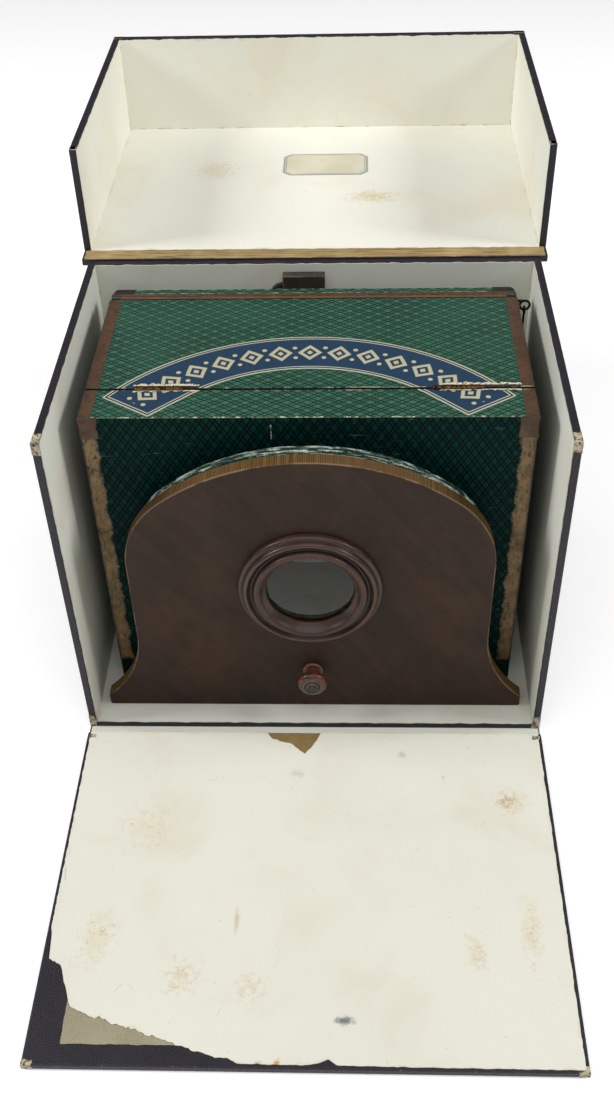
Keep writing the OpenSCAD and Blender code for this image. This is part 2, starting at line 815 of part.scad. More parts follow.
case_floor();
case_left_wall();
case_right_wall();
case_back_wall();
case_lining();
front_hinge_cloth();
lid_hinge_cloth();
drop_front_board();
drop_front_lining();
lid_panel();
lid_front_lip();
lid_left_wall();
lid_right_wall();
lid_lining();
lid_label();
box_bottom();
box_left_side();
box_right_side();
box_front_panel();
box_top_rail();
rear_frame();
rear_sill();
view_guides();
tongue_runners();
bellows();
flap_hinge_fixed_leaves();
flap_hinge_pins();
door_hinge_fixed_leaves();
door_hinge_pins();
hook_screw_eye();
top_flap_board();
flap_mirror();
flap_hinge_moving_leaves();
rear_door_board();
door_pull_block();
door_leather_pull();
door_hinge_moving_leaves();
door_catch_pin();
front_board();
focus_tongue();
lens_ring();
lens();
lens_retainer();
focus_knob();
stay_hook();
view_frame();
view_sheet();
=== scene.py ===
"""Looks of a peep-show viewer with a bellows front, shown in its open fall-front case.

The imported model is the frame. Boards, papers, tapes and turned pieces are built around it here as
numpy surfaces, in millimetres, and every surface gets a procedural finish.
"""

from __future__ import annotations

import json
import logging
import math
from dataclasses import dataclass, field, replace
from enum import Enum
from functools import reduce
from typing import Callable, Sequence

import bpy
import numpy as np
from mathutils import Matrix

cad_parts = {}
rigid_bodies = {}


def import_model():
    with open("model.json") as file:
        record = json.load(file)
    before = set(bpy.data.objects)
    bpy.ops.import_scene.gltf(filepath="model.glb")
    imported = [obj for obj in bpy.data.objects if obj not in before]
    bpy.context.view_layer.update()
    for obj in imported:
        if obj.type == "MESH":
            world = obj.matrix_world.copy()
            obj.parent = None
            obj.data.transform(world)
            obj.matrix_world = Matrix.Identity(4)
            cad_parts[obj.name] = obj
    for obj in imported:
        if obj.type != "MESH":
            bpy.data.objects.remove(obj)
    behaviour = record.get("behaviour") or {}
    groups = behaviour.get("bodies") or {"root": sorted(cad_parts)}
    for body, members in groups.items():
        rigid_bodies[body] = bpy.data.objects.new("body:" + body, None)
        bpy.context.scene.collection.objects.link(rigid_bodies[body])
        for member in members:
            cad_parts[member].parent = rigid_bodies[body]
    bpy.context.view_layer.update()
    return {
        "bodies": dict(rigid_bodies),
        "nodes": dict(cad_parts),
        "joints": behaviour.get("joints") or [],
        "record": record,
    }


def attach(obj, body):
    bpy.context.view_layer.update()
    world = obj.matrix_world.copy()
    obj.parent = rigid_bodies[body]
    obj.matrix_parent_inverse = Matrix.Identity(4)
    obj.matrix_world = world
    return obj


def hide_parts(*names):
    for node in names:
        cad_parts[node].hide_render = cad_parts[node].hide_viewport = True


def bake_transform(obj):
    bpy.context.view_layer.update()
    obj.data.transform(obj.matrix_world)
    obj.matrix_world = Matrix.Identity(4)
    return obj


LOG = logging.getLogger("viewer_in_case")
MM = 0.001
SEAM_Y = -32.8
Array = np.ndarray
Pair = tuple[float, float]
Triple = tuple[float, float, float]
Colour = Triple
Curve = Callable[[Array], Array]
HANDS = (("left", -1), ("right", 1))
RAYS = 96
LEAST_TURN = 2e-4
EDGE_ROWS = (0.1, 0.3, 0.5, 0.7, 0.9)
SHARP_ANGLE = math.radians(38)


def srgb(red: float, green: float, blue: float) -> Colour:
    """Linear colour of an 8-bit screen colour.

    Args:
        red: from 0 to 255.
        green: from 0 to 255.
        blue: from 0 to 255.

    Returns:
        The colour.
    """
    return tuple(
        c / 12.92 if c <= 0.04045 else ((c + 0.055) / 1.055) ** 2.4
        for c in (red / 255, green / 255, blue / 255)
    )


def darker(colour: Colour, share: float) -> Colour:
    """A share of a colour's light."""
    return tuple(c * share for c in colour)


# Surfaces


class Facing(Enum):
    """How a surface drawn in (u, v) with its height n lies in the frame."""

    UP = ((1, 0, 0), (0, 1, 0), (0, 0, 1))
    FRONT = ((1, 0, 0), (0, 0, 1), (0, 1, 0))
    SIDE = ((0, 0, 1), (1, 0, 0), (0, 1, 0))
    LENS = ((1, 0, 0), (0, 0, -1), (0, 1, 0))


@dataclass
class Surface:
    """Points in millimetres, faces as index arrays, and marks: one number a point for a finish."""

    points: Array
    faces: list[Array]
    marks: dict[str, Array] = field(default_factory=dict)

    def laid(self, facing: Facing, offset: Sequence[float] = (0, 0, 0)) -> Surface:
        """The surface turned to a facing and moved.

        Args:
            facing: which axes its u, v and n run along.
            offset: the move in millimetres.

        Returns:
            A new surface, its faces still pointing outwards.
        """
        matrix = np.array(facing.value, float)
        faces = self.faces if np.linalg.det(matrix) > 0 else [f[:, ::-1] for f in self.faces]
        return Surface(self.points @ matrix.T + np.array(offset, float), faces, self.marks)


def joined(*surfaces: Surface) -> Surface:
    """Several surfaces as one. A mark that one of them lacks is 0 there.

    Args:
        surfaces: the surfaces.

    Returns:
        The joined surface.
    """
    counts = [len(s.points) for s in surfaces]
    starts = np.cumsum([0, *counts[:-1]])
    faces = [f + start for s, start in zip(surfaces, starts) for f in s.faces]
    names = sorted({name for s in surfaces for name in s.marks})
    marks = {
        name: np.concatenate([s.marks.get(name, np.zeros(n)) for s, n in zip(surfaces, counts)])
        for name in names
    }
    return Surface(np.concatenate([s.points for s in surfaces]), faces, marks)


def skin(rows: Array, looped: bool) -> tuple[Array, list[Array], Callable[[Array], Array]]:
    """Closes a stack of closed rows of points into a surface.

    Args:
        rows: points of shape (rows, columns, 3), each row counter-clockwise seen from its end.
        looped: True where the last row joins the first, False where both ends shrink to a point.

    Returns:
        The points, the faces, and a function that brings a (rows, columns) mark into point order.
    """
    count, columns = rows.shape[:2]
    index = np.arange(count * columns).reshape(count, columns)
    index = np.vstack([index, index[:1]]) if looped else index[1:-1]
    a, b = index[:-1], index[1:]
    quads = np.stack([a, np.roll(a, -1, 1), np.roll(b, -1, 1), b], -1).reshape(-1, 4)
    if looped:
        return rows.reshape(-1, 3), [quads], lambda mark: mark.reshape(-1)
    first, last = index[0], index[-1]
    low, high = np.full(columns, 0), np.full(columns, count * columns - 1)
    fans = [np.stack([low, np.roll(first, -1), first], -1), np.stack([last, np.roll(last, -1), high], -1)]
    used = np.zeros(count * columns, bool)
    used[index.ravel()] = True
    used[[0, -1]] = True
    new = np.cumsum(used) - 1
    faces = [new[quads], *(new[f] for f in fans)]
    return rows.reshape(-1, 3)[used], faces, lambda mark: mark.reshape(-1)[used]


def cross(p: Array, q: Array) -> Array:
    """Cross product of plane vectors."""
    return p[..., 0] * q[..., 1] - p[..., 1] * q[..., 0]


def along_rays(outline: Array, centre: Array, angles: Array) -> Array:
    """Points where rays from a centre meet a closed outline.

    A ray r * d meets the side a + t * e where r = cross(a, e) / cross(d, e), for t between 0 and 1.

    Args:
        outline: corners, counter-clockwise, all seen from the centre.
        centre: where the rays start.
        angles: their directions.

    Returns:
        One point a ray.
    """
    a = outline - centre
    e = np.roll(a, -1, 0) - a
    d = np.stack([np.cos(angles), np.sin(angles)], 1)
    with np.errstate(divide="ignore", invalid="ignore"):
        base = cross(d[:, None], e[None])
        reach = cross(a, e)[None] / base
        t = cross(np.broadcast_to(a[None], (len(d), *a.shape)), d[:, None]) / base
    reach = np.where((t > -1e-6) & (t < 1 + 1e-6) & (reach > 0), reach, np.inf).min(1)
    return centre + d * reach[:, None]


def outward(outline: Array) -> Array:
    """Unit normals of a counter-clockwise outline, from its neighbours on both sides.

    Args:
        outline: its points.

    Returns:
        One normal a point.
    """
    run = np.roll(outline, -1, 0) - np.roll(outline, 1, 0)
    normal = np.stack([run[:, 1], -run[:, 0]], 1)
    return normal / np.maximum(np.linalg.norm(normal, axis=1, keepdims=True), 1e-9)


def plate(
    outline: Array,
    low: float,
    high: float,
    bevel: float = 0.4,
    hole: Array | None = None,
    centre: Pair | None = None,
    caps: int = 12,
) -> Surface:
    """A board of any outline that is seen whole from one point in it, with rounded edges.

    Rows run from the middle of the underside outwards, round the edge and back over the top. A cap's
    row is middle + s * (edge - middle) with s = 1 - t * t, so rows crowd at the edge.

    Args:
        outline: corners in (u, v), counter-clockwise.
        low: height of the underside.
        high: height of the top.
        bevel: radius of the edges.
        hole: outline of an opening, or None.
        centre: the point that the rows run towards, or None for the middle of the box.
        caps: rows in each face.

    Returns:
        The board, with marks rim (distance to the nearest arris), side (1 on the edge) and run (length
        along the edge).
    """
    middle = np.array(centre if centre else (outline.min(0) + outline.max(0)) / 2, float)
    corners = outline if hole is None else np.vstack([outline, hole])
    given = np.arctan2(*(corners - middle).T[::-1])
    angles = np.sort(np.concatenate([given, np.linspace(-np.pi, np.pi, RAYS, endpoint=False)]))
    angles = angles[np.diff(angles, prepend=angles[-1] - 2 * np.pi) > LEAST_TURN]
    edge = along_rays(outline, middle, angles)
    normal = outward(edge)
    inner = np.broadcast_to(middle, edge.shape)
    inner_normal = np.zeros_like(edge)
    if hole is not None:
        inner = along_rays(hole, middle, angles)
        inner_normal = outward(inner)
    rim_edge, rim_inner = edge - bevel * normal, inner + bevel * inner_normal
    reach = np.linalg.norm(rim_edge - rim_inner, axis=1)
    run = np.cumsum(np.linalg.norm(edge - np.roll(edge, 1, 0), axis=1))
    even = np.linspace(0, 1, caps)
    fractions = 1 - even**2 if hole is None else (1 + np.cos(np.linspace(0, np.pi, caps))) / 2
    turn = np.linspace(0, np.pi / 2, 4)
    rows, rims, sides = [], [], []

    def row(flat: Array, height: float, rim: Array | float, side: float) -> None:
        """Adds one row of points."""
        rows.append(np.column_stack([flat, np.full(len(flat), height)]))
        rims.append(np.broadcast_to(rim, len(flat)).astype(float))
        sides.append(np.full(len(flat), side))

    def cap_rows(order: Array, height: float) -> None:
        """Adds the rows of a face."""
        for s in order:
            near = (1 - s) if hole is None else min(s, 1 - s)
            row(rim_inner + s * (rim_edge - rim_inner), height, near * reach, 0)

    cap_rows(fractions[::-1], low)
    deep = high - low - 2 * bevel
    for a in turn[1:]:
        row(edge - bevel * (1 - math.sin(a)) * normal, low + bevel * (1 - math.cos(a)), 0, 1)
    for t in EDGE_ROWS:
        row(edge, low + bevel + t * deep, min(t, 1 - t) * deep, 1)
    for a in turn[:-1]:
        row(edge - bevel * (1 - math.cos(a)) * normal, high - bevel * (1 - math.sin(a)), 0, 1)
    cap_rows(fractions, high)
    if hole is not None:
        for a in turn[1:]:
            row(inner + bevel * (1 - math.sin(a)) * inner_normal, high - bevel * (1 - math.cos(a)), 0, 1)
        for a in turn[:-1]:
            row(inner + bevel * (1 - math.cos(a)) * inner_normal, low + bevel * (1 - math.sin(a)), 0, 1)
    points, faces, order = skin(np.array(rows), hole is not None)
    marks = {
        "rim": order(np.array(rims)),
        "side": order(np.array(sides)),
        "run": order(np.broadcast_to(run, (len(rows), len(run)))),
    }
    return Surface(points, faces, marks)


def rectangle(u0: float, u1: float, v0: float, v1: float, radius: float = 0.0) -> Array:
    """Counter-clockwise corners of a rectangle, each rounded by a quarter circle.

    Args:
        u0: left side.
        u1: right side.
        v0: lower side.
        v1: upper side.
        radius: radius of the corners.

    Returns:
        The outline, with seven points a corner, or with four where the radius is 0.
    """
    if radius <= 0:
        return np.array([(u0, v0), (u1, v0), (u1, v1), (u0, v1)], float)
    left, right, low, high = u0 + radius, u1 - radius, v0 + radius, v1 - radius
    centres = np.array([(right, high), (left, high), (left, low), (right, low)])
    arc = np.linspace(0, np.pi / 2, 7)
    angle = (arc[None] + np.arange(4)[:, None] * np.pi / 2)[..., None]
    way = np.concatenate([np.cos(angle), np.sin(angle)], -1)
    return (centres[:, None] + radius * way).reshape(-1, 2)


def circle(centre: Pair, radius: float, angles: Array) -> Array:
    """Points on a circle at given angles."""
    return np.column_stack([centre[0] + radius * np.cos(angles), centre[1] + radius * np.sin(angles)])


def board(
    low: Sequence[float], high: Sequence[float], facing: Facing, radius: float = 0.6, bevel: float = 0.5
) -> Surface:
    """A box-shaped board between two corners, its broad faces across the facing's height.

    Args:
        low: lowest corner.
        high: highest corner.
        facing: the board's facing.
        radius: radius of its four corners.
        bevel: radius of its edges.

    Returns:
        The board.
    """
    matrix = np.array(facing.value, float)
    (u0, v0, n0), (u1, v1, n1) = np.array(low) @ matrix, np.array(high) @ matrix
    return plate(rectangle(u0, u1, v0, v1, radius), n0, n1, bevel).laid(facing)


def ragged(seed: int, depth: float, coarse: float = 24.0, fine: float = 1.6) -> Curve:
    """A torn edge as a function of the length along it.

    It is a sum of sines of 14 wavelengths from coarse to fine, each with its own phase and a height
    that falls with the wavelength.

    Args:
        seed: which tear.
        depth: its largest height in millimetres.
        coarse: longest wavelength.
        fine: shortest wavelength.

    Returns:
        The function.
    """
    rng = np.random.default_rng(seed)
    lengths = np.geomspace(coarse, fine, 14)
    phases = rng.uniform(0, 2 * np.pi, 14)
    heights = (lengths / coarse) ** 0.6 * rng.uniform(0.4, 1, 14)
    heights *= depth / heights.sum() * 1.6

    def edge(s: Array) -> Array:
        """Height of the tear at each length."""
        s = np.asarray(s, float)
        return (np.sin(2 * np.pi * s[..., None] / lengths + phases) * heights).sum(-1)

    return edge


def straight(place: float, tear: Curve | None = None) -> Curve:
    """A border at a place, worn by a tear."""
    return lambda s: place + (tear(s) if tear else np.zeros_like(np.asarray(s, float)))


def sheet(
    u: tuple[Curve, Curve],
    v: tuple[Curve, Curve],
    plain: tuple[float, float, float, float],
    low: float,
    thick: float,
    step: float = 2.0,
    lift: Callable[[Array, Array], Array] | None = None,
) -> Surface:
    """A sheet of paper between four borders.

    A point is (u0(t) + s * (u1(t) - u0(t)), v0(s) + t * (v1(s) - v0(s))), where each border is a
    function of the length along it.

    Args:
        u: left and right border, as functions of v.
        v: near and far border, as functions of u.
        plain: u0, u1, v0, v1 of the plain rectangle.
        low: height of its underside.
        thick: its thickness.
        step: size of a face.
        lift: extra height as a function of u and v.

    Returns:
        The closed sheet, with a rim mark.
    """
    u0, u1, v0, v1 = plain
    s = np.linspace(0, 1, max(2, int((u1 - u0) / step) + 1))
    t = np.linspace(0, 1, max(2, int((v1 - v0) / step) + 1))
    su, tv = u0 + s * (u1 - u0), v0 + t * (v1 - v0)
    left, right = u[0](tv)[:, None], u[1](tv)[:, None]
    near, far = v[0](su)[None], v[1](su)[None]
    x = left + s[None] * (right - left)
    y = near + t[:, None] * (far - near)
    z = low + (lift(x, y) if lift else np.zeros_like(x))
    rim = np.minimum(np.minimum(x - left, right - x), np.minimum(y - near, far - y))
    top = np.stack([x, y, z + thick], -1).reshape(-1, 3)
    under = np.stack([x, y, z], -1).reshape(-1, 3)
    index = np.arange(x.size).reshape(x.shape)
    quads = np.stack([index[:-1, :-1], index[:-1, 1:], index[1:, 1:], index[1:, :-1]], -1).reshape(-1, 4)
    loop = np.concatenate([index[0], index[1:, -1], index[-1, -2::-1], index[-2:0:-1, 0]])
    after = np.roll(loop, -1)
    wall = np.stack([loop + x.size, after + x.size, after, loop], -1)
    marks = {"rim": np.tile(rim.ravel(), 2)}
    return Surface(np.vstack([top, under]), [quads, quads[:, ::-1] + x.size, wall], marks)


def patch(
    u0: float, u1: float, v0: float, v1: float, low: float, thick: float = 0.2,
    seed: int = 0, tear: float = 0.0, step: float = 1.6, torn: str = "lrnf",
) -> Surface:
    """A rectangular sheet, worn at its left, right, near and far border or at some of them.

    Args:
        u0: left border.
        u1: right border.
        v0: near border.
        v1: far border.
        low: height of its underside.
        thick: its thickness.
        seed: which tear.
        tear: the tear's depth.
        step: size of a face.
        torn: first letters of the torn borders.

    Returns:
        The closed sheet.
    """
    edges = [
        ragged(seed * 4 + i, tear) if tear and letter in torn else None for i, letter in enumerate("lrnf")
    ]
    return sheet(
        (straight(u0, edges[0]), straight(u1, edges[1])),
        (straight(v0, edges[2]), straight(v1, edges[3])),
        (u0, u1, v0, v1), low, thick, step,
    )


def revolve(profile: Array, looped: bool, segments: int = 128) -> Surface:
    """Turns a profile of (radius, height) about the height axis.

    Args:
        profile: points from the underside outwards and up. A looped one is counter-clockwise.
        looped: True for a ring, False where both ends lie on the axis.
        segments: faces round the turn.

    Returns:
        The turned piece, with marks rim (radius), side (height) and crest (how far the profile bends
        outwards in a millimetre, below 0 in hollows).
    """
    angle = np.linspace(0, 2 * np.pi, segments, endpoint=False)
    r, h = profile[:, 0:1], profile[:, 1:2]
    rows = np.stack([r * np.cos(angle), r * np.sin(angle), h + 0 * angle], -1)
    points, faces, order = skin(rows, looped)
    before, after = profile - np.roll(profile, 1, 0), np.roll(profile, -1, 0) - profile
    length = np.linalg.norm(before, axis=1) + np.linalg.norm(after, axis=1)
    bend = np.arctan2(cross(before, after), (before * after).sum(1)) / np.maximum(length, 0.2)
    bend = np.convolve(np.pad(bend, 2, "wrap"), np.full(5, 0.2), "valid")[:, None]
    marks = {"rim": order(r + 0 * angle), "side": order(h + 0 * angle), "crest": order(bend + 0 * angle)}
    return Surface(points, faces, marks)


def smooth_profile(corners: Sequence[Pair], rounds: int = 3, looped: bool = False) -> Array:
    """Rounds a profile by cutting its corners (Chaikin): each side keeps its points at 1/4 and 3/4.

    Args:
        corners: the profile's points.
        rounds: how often it is cut.
        looped: True where the last point joins the first.

    Returns:
        The rounded profile.
    """
    line = np.array(corners, float)
    for _ in range(rounds):
        after = np.roll(line, -1, 0)
        cut = np.stack([0.75 * line + 0.25 * after, 0.25 * line + 0.75 * after], 1)
        line = cut.reshape(-1, 2) if looped else np.vstack([line[:1], cut[:-1].reshape(-1, 2), line[-1:]])
    return line


# Pieces


def make_object(name: str, surface: Surface) -> bpy.types.Object:
    """Puts a surface into a mesh object at the origin.

    Args:
        name: the piece's name.
        surface: its shape, in millimetres.

    Returns:
        The object, in metres.
    """
    mesh = bpy.data.meshes.new(name)
    faces = [face for block in surface.faces for face in block.tolist()]
    mesh.from_pydata((surface.points * MM).tolist(), [], faces)
    for mark, values in surface.marks.items():
        mesh.attributes.new(mark, "FLOAT", "POINT").data.foreach_set("value", values.astype(np.float32))
    mesh.shade_smooth()
    mesh.set_sharp_from_angle(angle=SHARP_ANGLE)
    made = bpy.data.objects.new(name, mesh)
    bpy.context.scene.collection.objects.link(made)
    return made


class Dresser:
    """Adds finished pieces to the frame and reports them."""

    def __init__(self, nodes: dict[str, bpy.types.Object]) -> None:
        """Keeps the frame's nodes by name."""
        self.nodes = nodes
        self.materials: dict[str, bpy.types.Material] = {}

    def material(self, finish: Finish) -> bpy.types.Material:
        """The finish's material, built once.

        Args:
            finish: the finish.

        Returns:
            The material.
        """
        if finish.name not in self.materials:
            self.materials[finish.name] = finish.build()
        return self.materials[finish.name]

    def add(self, name: str, surface: Surface, finish: Finish, body: str, *replaced: str) -> bpy.types.Object:
        """Makes a piece that rides on a body.

        Args:
            name: the piece's name.
            surface: its shape.
            finish: its finish.
            body: the body that it rides on.
            replaced: the nodes that it stands for.

        Returns:
            The piece.
        """
        made = make_object(name, surface)
        made.data.materials.append(self.material(finish))
        if replaced:
            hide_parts(*replaced)
        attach(made, body)
        LOG.info("%s: %d points on %s", name, len(surface.points), body)
        return made

    def dress(self, finish: Finish, *names: str) -> None:
        """Gives nodes whose shape is right their finish.

        Args:
            finish: the finish.
            names: the nodes.
        """
        for name in names:
            mesh = self.nodes[name].data
            mesh.materials.clear()
            mesh.materials.append(self.material(finish))
            LOG.info("%s: %s", name, finish.name)


# Shader nodes

Socket = bpy.types.NodeSocket
Value = float | Socket
Sockets = dict[str, object]
Feeds = dict[str | int, object]


class Graph:
    """The nodes of one material or group."""

    def __init__(self, tree: bpy.types.NodeTree) -> None:
        """Starts on a node tree."""
        self.tree = tree

    def node(self, kind: str, feeds: Feeds | None = None, **settings: object) -> bpy.types.Node:
        """Adds a node.

        Args:
            kind: its type without the ShaderNode prefix.
            feeds: what goes into its inputs, by name or number.
            settings: its other properties.

        Returns:
            The node.
        """
        made = self.tree.nodes.new("ShaderNode" + kind)
        made.location = (len(self.tree.nodes) % 12 * 190, -(len(self.tree.nodes) // 12) * 260)
        for key, value in settings.items():
            setattr(made, key, value)
        for key, value in (feeds or {}).items():
            self.feed(made.inputs[key], value)
        return made

    def feed(self, socket: Socket, value: object) -> None:
        """Links an input or sets its value. A colour of three numbers gets a full alpha.

        Args:
            socket: the input.
            value: a socket, number, vector or colour.
        """
        if isinstance(value, bpy.types.NodeSocket):
            self.tree.links.new(value, socket)
        elif socket.type == "RGBA" and len(value) == 3:
            socket.default_value = (*value, 1)
        else:
            socket.default_value = value

    def math(self, kind: str, a: Value, b: Value = 0.0, c: Value = 0.0) -> Socket:
        """A Math node's result."""
        return self.node("Math", {0: a, 1: b, 2: c}, operation=kind).outputs[0]

    def times(self, a: Value, b: Value) -> Socket:
        """The product."""
        return self.math("MULTIPLY", a, b)

    def plus(self, a: Value, b: Value) -> Socket:
        """The sum."""
        return self.math("ADD", a, b)

    def less(self, a: Value, b: Value) -> Socket:
        """The first less the second."""
        return self.math("SUBTRACT", a, b)

    def over(self, a: Value, b: Value) -> Socket:
        """The first divided by the second."""
        return self.math("DIVIDE", a, b)

    def away(self, value: Value, place: float) -> Socket:
        """Distance of a value from a place."""
        return self.math("ABSOLUTE", self.less(value, place))

    def most(self, *values: Value) -> Socket:
        """The largest of some values."""
        return reduce(lambda a, b: self.math("MAXIMUM", a, b), values)

    def vector(self, kind: str, a: object, b: object = (0, 0, 0)) -> Socket:
        """A Vector Math node's vector."""
        return self.node("VectorMath", {0: a, 1: b}, operation=kind).outputs[0]

    def mix(self, factor: Value, a: object, b: object) -> Socket:
        """A colour mix."""
        return self.node("Mix", {0: factor, 6: a, 7: b}, data_type="RGBA").outputs[2]

    def tint(self, colour: object, other: object, mask: Socket, share: Value) -> Socket:
        """A colour with a share of another laid over it where the mask is 1."""
        return self.mix(self.times(mask, share), colour, other)

    def band(self, value: Value, low: Value, high: Value, to_low: float = 0, to_high: float = 1) -> Socket:
        """A value carried smoothly from one range to another and held there."""
        feeds = {"Value": value, "From Min": low, "From Max": high, "To Min": to_low, "To Max": to_high}
        return self.node("MapRange", feeds, interpolation_type="SMOOTHSTEP").outputs[0]

    def stripe(self, value: Value, low: float, high: float, soft: float) -> Socket:
        """1 where a value lies between two others, with soft borders."""
        rise = self.band(value, low - soft, low + soft)
        return self.times(rise, self.band(value, high - soft, high + soft, 1, 0))

    def noise(
        self, vector: Socket, scale: Value, detail: float = 3.0, rough: float = 0.55, warp: float = 0.0
    ) -> Socket:
        """Noise between about 0.25 and 0.75."""
        feeds = {"Vector": vector, "Scale": scale, "Detail": detail, "Roughness": rough, "Distortion": warp}
        return self.node("TexNoise", feeds).outputs[0]

    def cells(self, vector: Socket, scale: Value) -> Socket:
        """Distance from the nearest point of a Voronoi pattern."""
        return self.node("TexVoronoi", {"Vector": vector, "Scale": scale}).outputs["Distance"]

    def millimetres(self) -> Socket:
        """Object coordinates in millimetres."""
        place = self.node("TexCoord").outputs["Object"]
        return self.node("VectorMath", {0: place, "Scale": 1 / MM}, operation="SCALE").outputs[0]

    def stretched(self, vector: Socket, scale: Triple) -> Socket:
        """Coordinates stretched by a factor an axis."""
        return self.node("Mapping", {"Vector": vector, "Scale": scale}).outputs[0]

    def turned(self, vector: Socket, degrees: float) -> Socket:
        """Coordinates turned about Y."""
        return self.node("Mapping", {"Vector": vector, "Rotation": (0, math.radians(degrees), 0)}).outputs[0]

    def split(self, vector: Socket) -> list[Socket]:
        """X, Y and Z of a vector."""
        return list(self.node("SeparateXYZ", {0: vector}).outputs)

    def place(self, x: Value, y: Value = 0.0, z: Value = 0.0) -> Socket:
        """A vector of X, Y and Z."""
        return self.node("CombineXYZ", {0: x, 1: y, 2: z}).outputs[0]

    def mark(self, name: str) -> Socket:
        """A mark that the piece's mesh carries."""
        return self.node("Attribute", attribute_name=name).outputs["Fac"]

    def bump(self, height: Socket, depth: float) -> Socket:
        """A normal from a height, with its depth in millimetres."""
        return self.node("Bump", {"Height": height, "Distance": depth * MM, "Strength": 1.0}).outputs[0]

    def group(self, effect: Effect, **feeds: object) -> dict[str, Socket]:
        """Places a shared effect.

        Args:
            effect: which effect.
            feeds: what goes into its inputs, by name.

        Returns:
            Its outputs by name.
        """
        made = self.node("Group")
        made.node_tree = effect_tree(effect)
        for key, value in feeds.items():
            self.feed(made.inputs[key], value)
        return {socket.name: socket for socket in made.outputs}

    def mask(self, effect: Effect, **feeds: object) -> Socket:
        """The mask of a shared effect."""
        return self.group(effect, **feeds)["Mask"]

    def worn(self, v: Socket, width: float, scale: float, amount: float, edge: str = "rim") -> Socket:
        """The mask of wear along an edge, by the mark that holds the distance from the edge."""
        rim = self.mark(edge)
        return self.mask(Effect.EDGE_WEAR, Vector=v, Rim=rim, Width=width, Scale=scale, Amount=amount)

    def seam(self, v: Socket, colour: object) -> Socket:
        """Darkens a colour along the split between rail and flap, as dirt and painted shade in the gap, with
        pale torn bits beside the split.

        Args:
            v: coordinates in millimetres.
            colour: the colour away from the split.

        Returns:
            The colour.
        """
        ragged_edge = self.times(self.less(self.noise(v, 0.25, 4, 0.7), 0.5), 1.4)
        shaken = self.plus(self.away(self.split(v)[1], SEAM_Y), ragged_edge)
        bits = self.band(self.noise(self.stretched(v, (0.35, 1, 1)), 0.3, 4, 0.7), 0.56, 0.62)
        colour = self.tint(colour, srgb(190, 180, 150), bits, self.band(shaken, 1.5, 1.9, 1, 0))
        # painted shade and dirt: a dark band along the split between rail and flap
        return self.mix(self.band(shaken, 0.95, 1.3, 1, 0), colour, srgb(16, 20, 16))


class Effect(Enum):
    """The effects that finishes share."""

    EDGE_WEAR = "edge_wear"
    LOZENGES = "lozenges"
    OLD_PAPER = "old_paper"
    SPOT = "spot"
    HAIRLINES = "hairlines"
    PEBBLES = "pebbles"
    WOOD_GRAIN = "wood_grain"


def effect_tree(effect: Effect) -> bpy.types.NodeTree:
    """The node group of an effect, built the first time that it is asked for.

    Args:
        effect: which effect. An input whose default is three numbers is a vector.

    Returns:
        The group.
    """
    known = bpy.data.node_groups.get(effect.value)
    if known:
        return known
    build, inputs = EFFECTS[effect]
    tree = bpy.data.node_groups.new(effect.value, "ShaderNodeTree")
    for name, default in inputs.items():
        kind = "NodeSocketFloat" if isinstance(default, float) else "NodeSocketVector"
        tree.interface.new_socket(name, in_out="INPUT", socket_type=kind).default_value = default
    graph = Graph(tree)
    outputs = build(graph, {s.name: s for s in tree.nodes.new("NodeGroupInput").outputs if s.name})
    for name in outputs:
        tree.interface.new_socket(name, in_out="OUTPUT", socket_type="NodeSocketFloat")
    leave = tree.nodes.new("NodeGroupOutput")
    for name, value in outputs.items():
        graph.feed(leave.inputs[name], value)
    return tree


def edge_wear(g: Graph, i: Sockets) -> Sockets:
    """Wear along an edge: noise that passes a level which rises with the distance from the edge.

    Args:
        g: the group's graph.
        i: its inputs.

    Returns:
        Its outputs.
    """
    rub = g.noise(i["Vector"], i["Scale"], 4, 0.65)
    level = g.less(g.plus(rub, i["Amount"]), g.over(i["Rim"], i["Width"]))
    return {"Mask": g.band(level, 0.42, 0.52)}


def lozenges(g: Graph, i: Sockets) -> Sockets:
    """A lattice of lozenges with doubled lines.

    In each of the two directions x / width + y / height and x / width - y / height, the distance to the
    nearest whole number runs from 0 to 0.5. A thin line lies at 0.3 on either side, and where both
    distances are less than that, two wide bands cross in a pale cell.

    Args:
        g: the group's graph.
        i: its inputs.

    Returns:
        Its outputs.
    """
    a, b = g.over(i["Across"], i["Width"]), g.over(i["Along"], i["Height"])
    near = [g.math("PINGPONG", way, 0.5) for way in (g.plus(a, b), g.less(a, b))]
    lines = [g.band(g.away(d, 0.3), 0.035, 0.072, 1, 0) for d in near]
    cells = [g.band(d, 0.22, 0.28, 1, 0) for d in near]
    return {"Line": g.most(*lines), "Cell": g.times(*cells)}


def old_paper(g: Graph, i: Sockets) -> Sockets:
    """Age of paper: broad warm clouds, small foxing marks in places, and fibres in relief.

    Args:
        g: the group's graph.
        i: its inputs.

    Returns:
        Its outputs.
    """
    v = i["Vector"]
    cloud = g.band(g.noise(v, 0.014, 4, 0.6, 0.6), 0.46, 0.72)
    place = g.band(g.noise(v, 0.022, 2, 0.5), 0.56, 0.68)
    speck = g.band(g.noise(v, 0.42, 5, 0.7), 0.6, 0.68)
    dot = g.band(g.cells(v, 0.075), 0.035, 0.075, 1, 0)
    fox = g.most(g.times(speck, place), g.times(dot, 0.6))
    fibre = g.noise(g.stretched(v, (0.7, 1.6, 1.2)), 1.1, 5, 0.7)
    return {"Cloud": g.times(cloud, i["Age"]), "Fox": g.times(fox, i["Age"]), "Fibre": fibre}


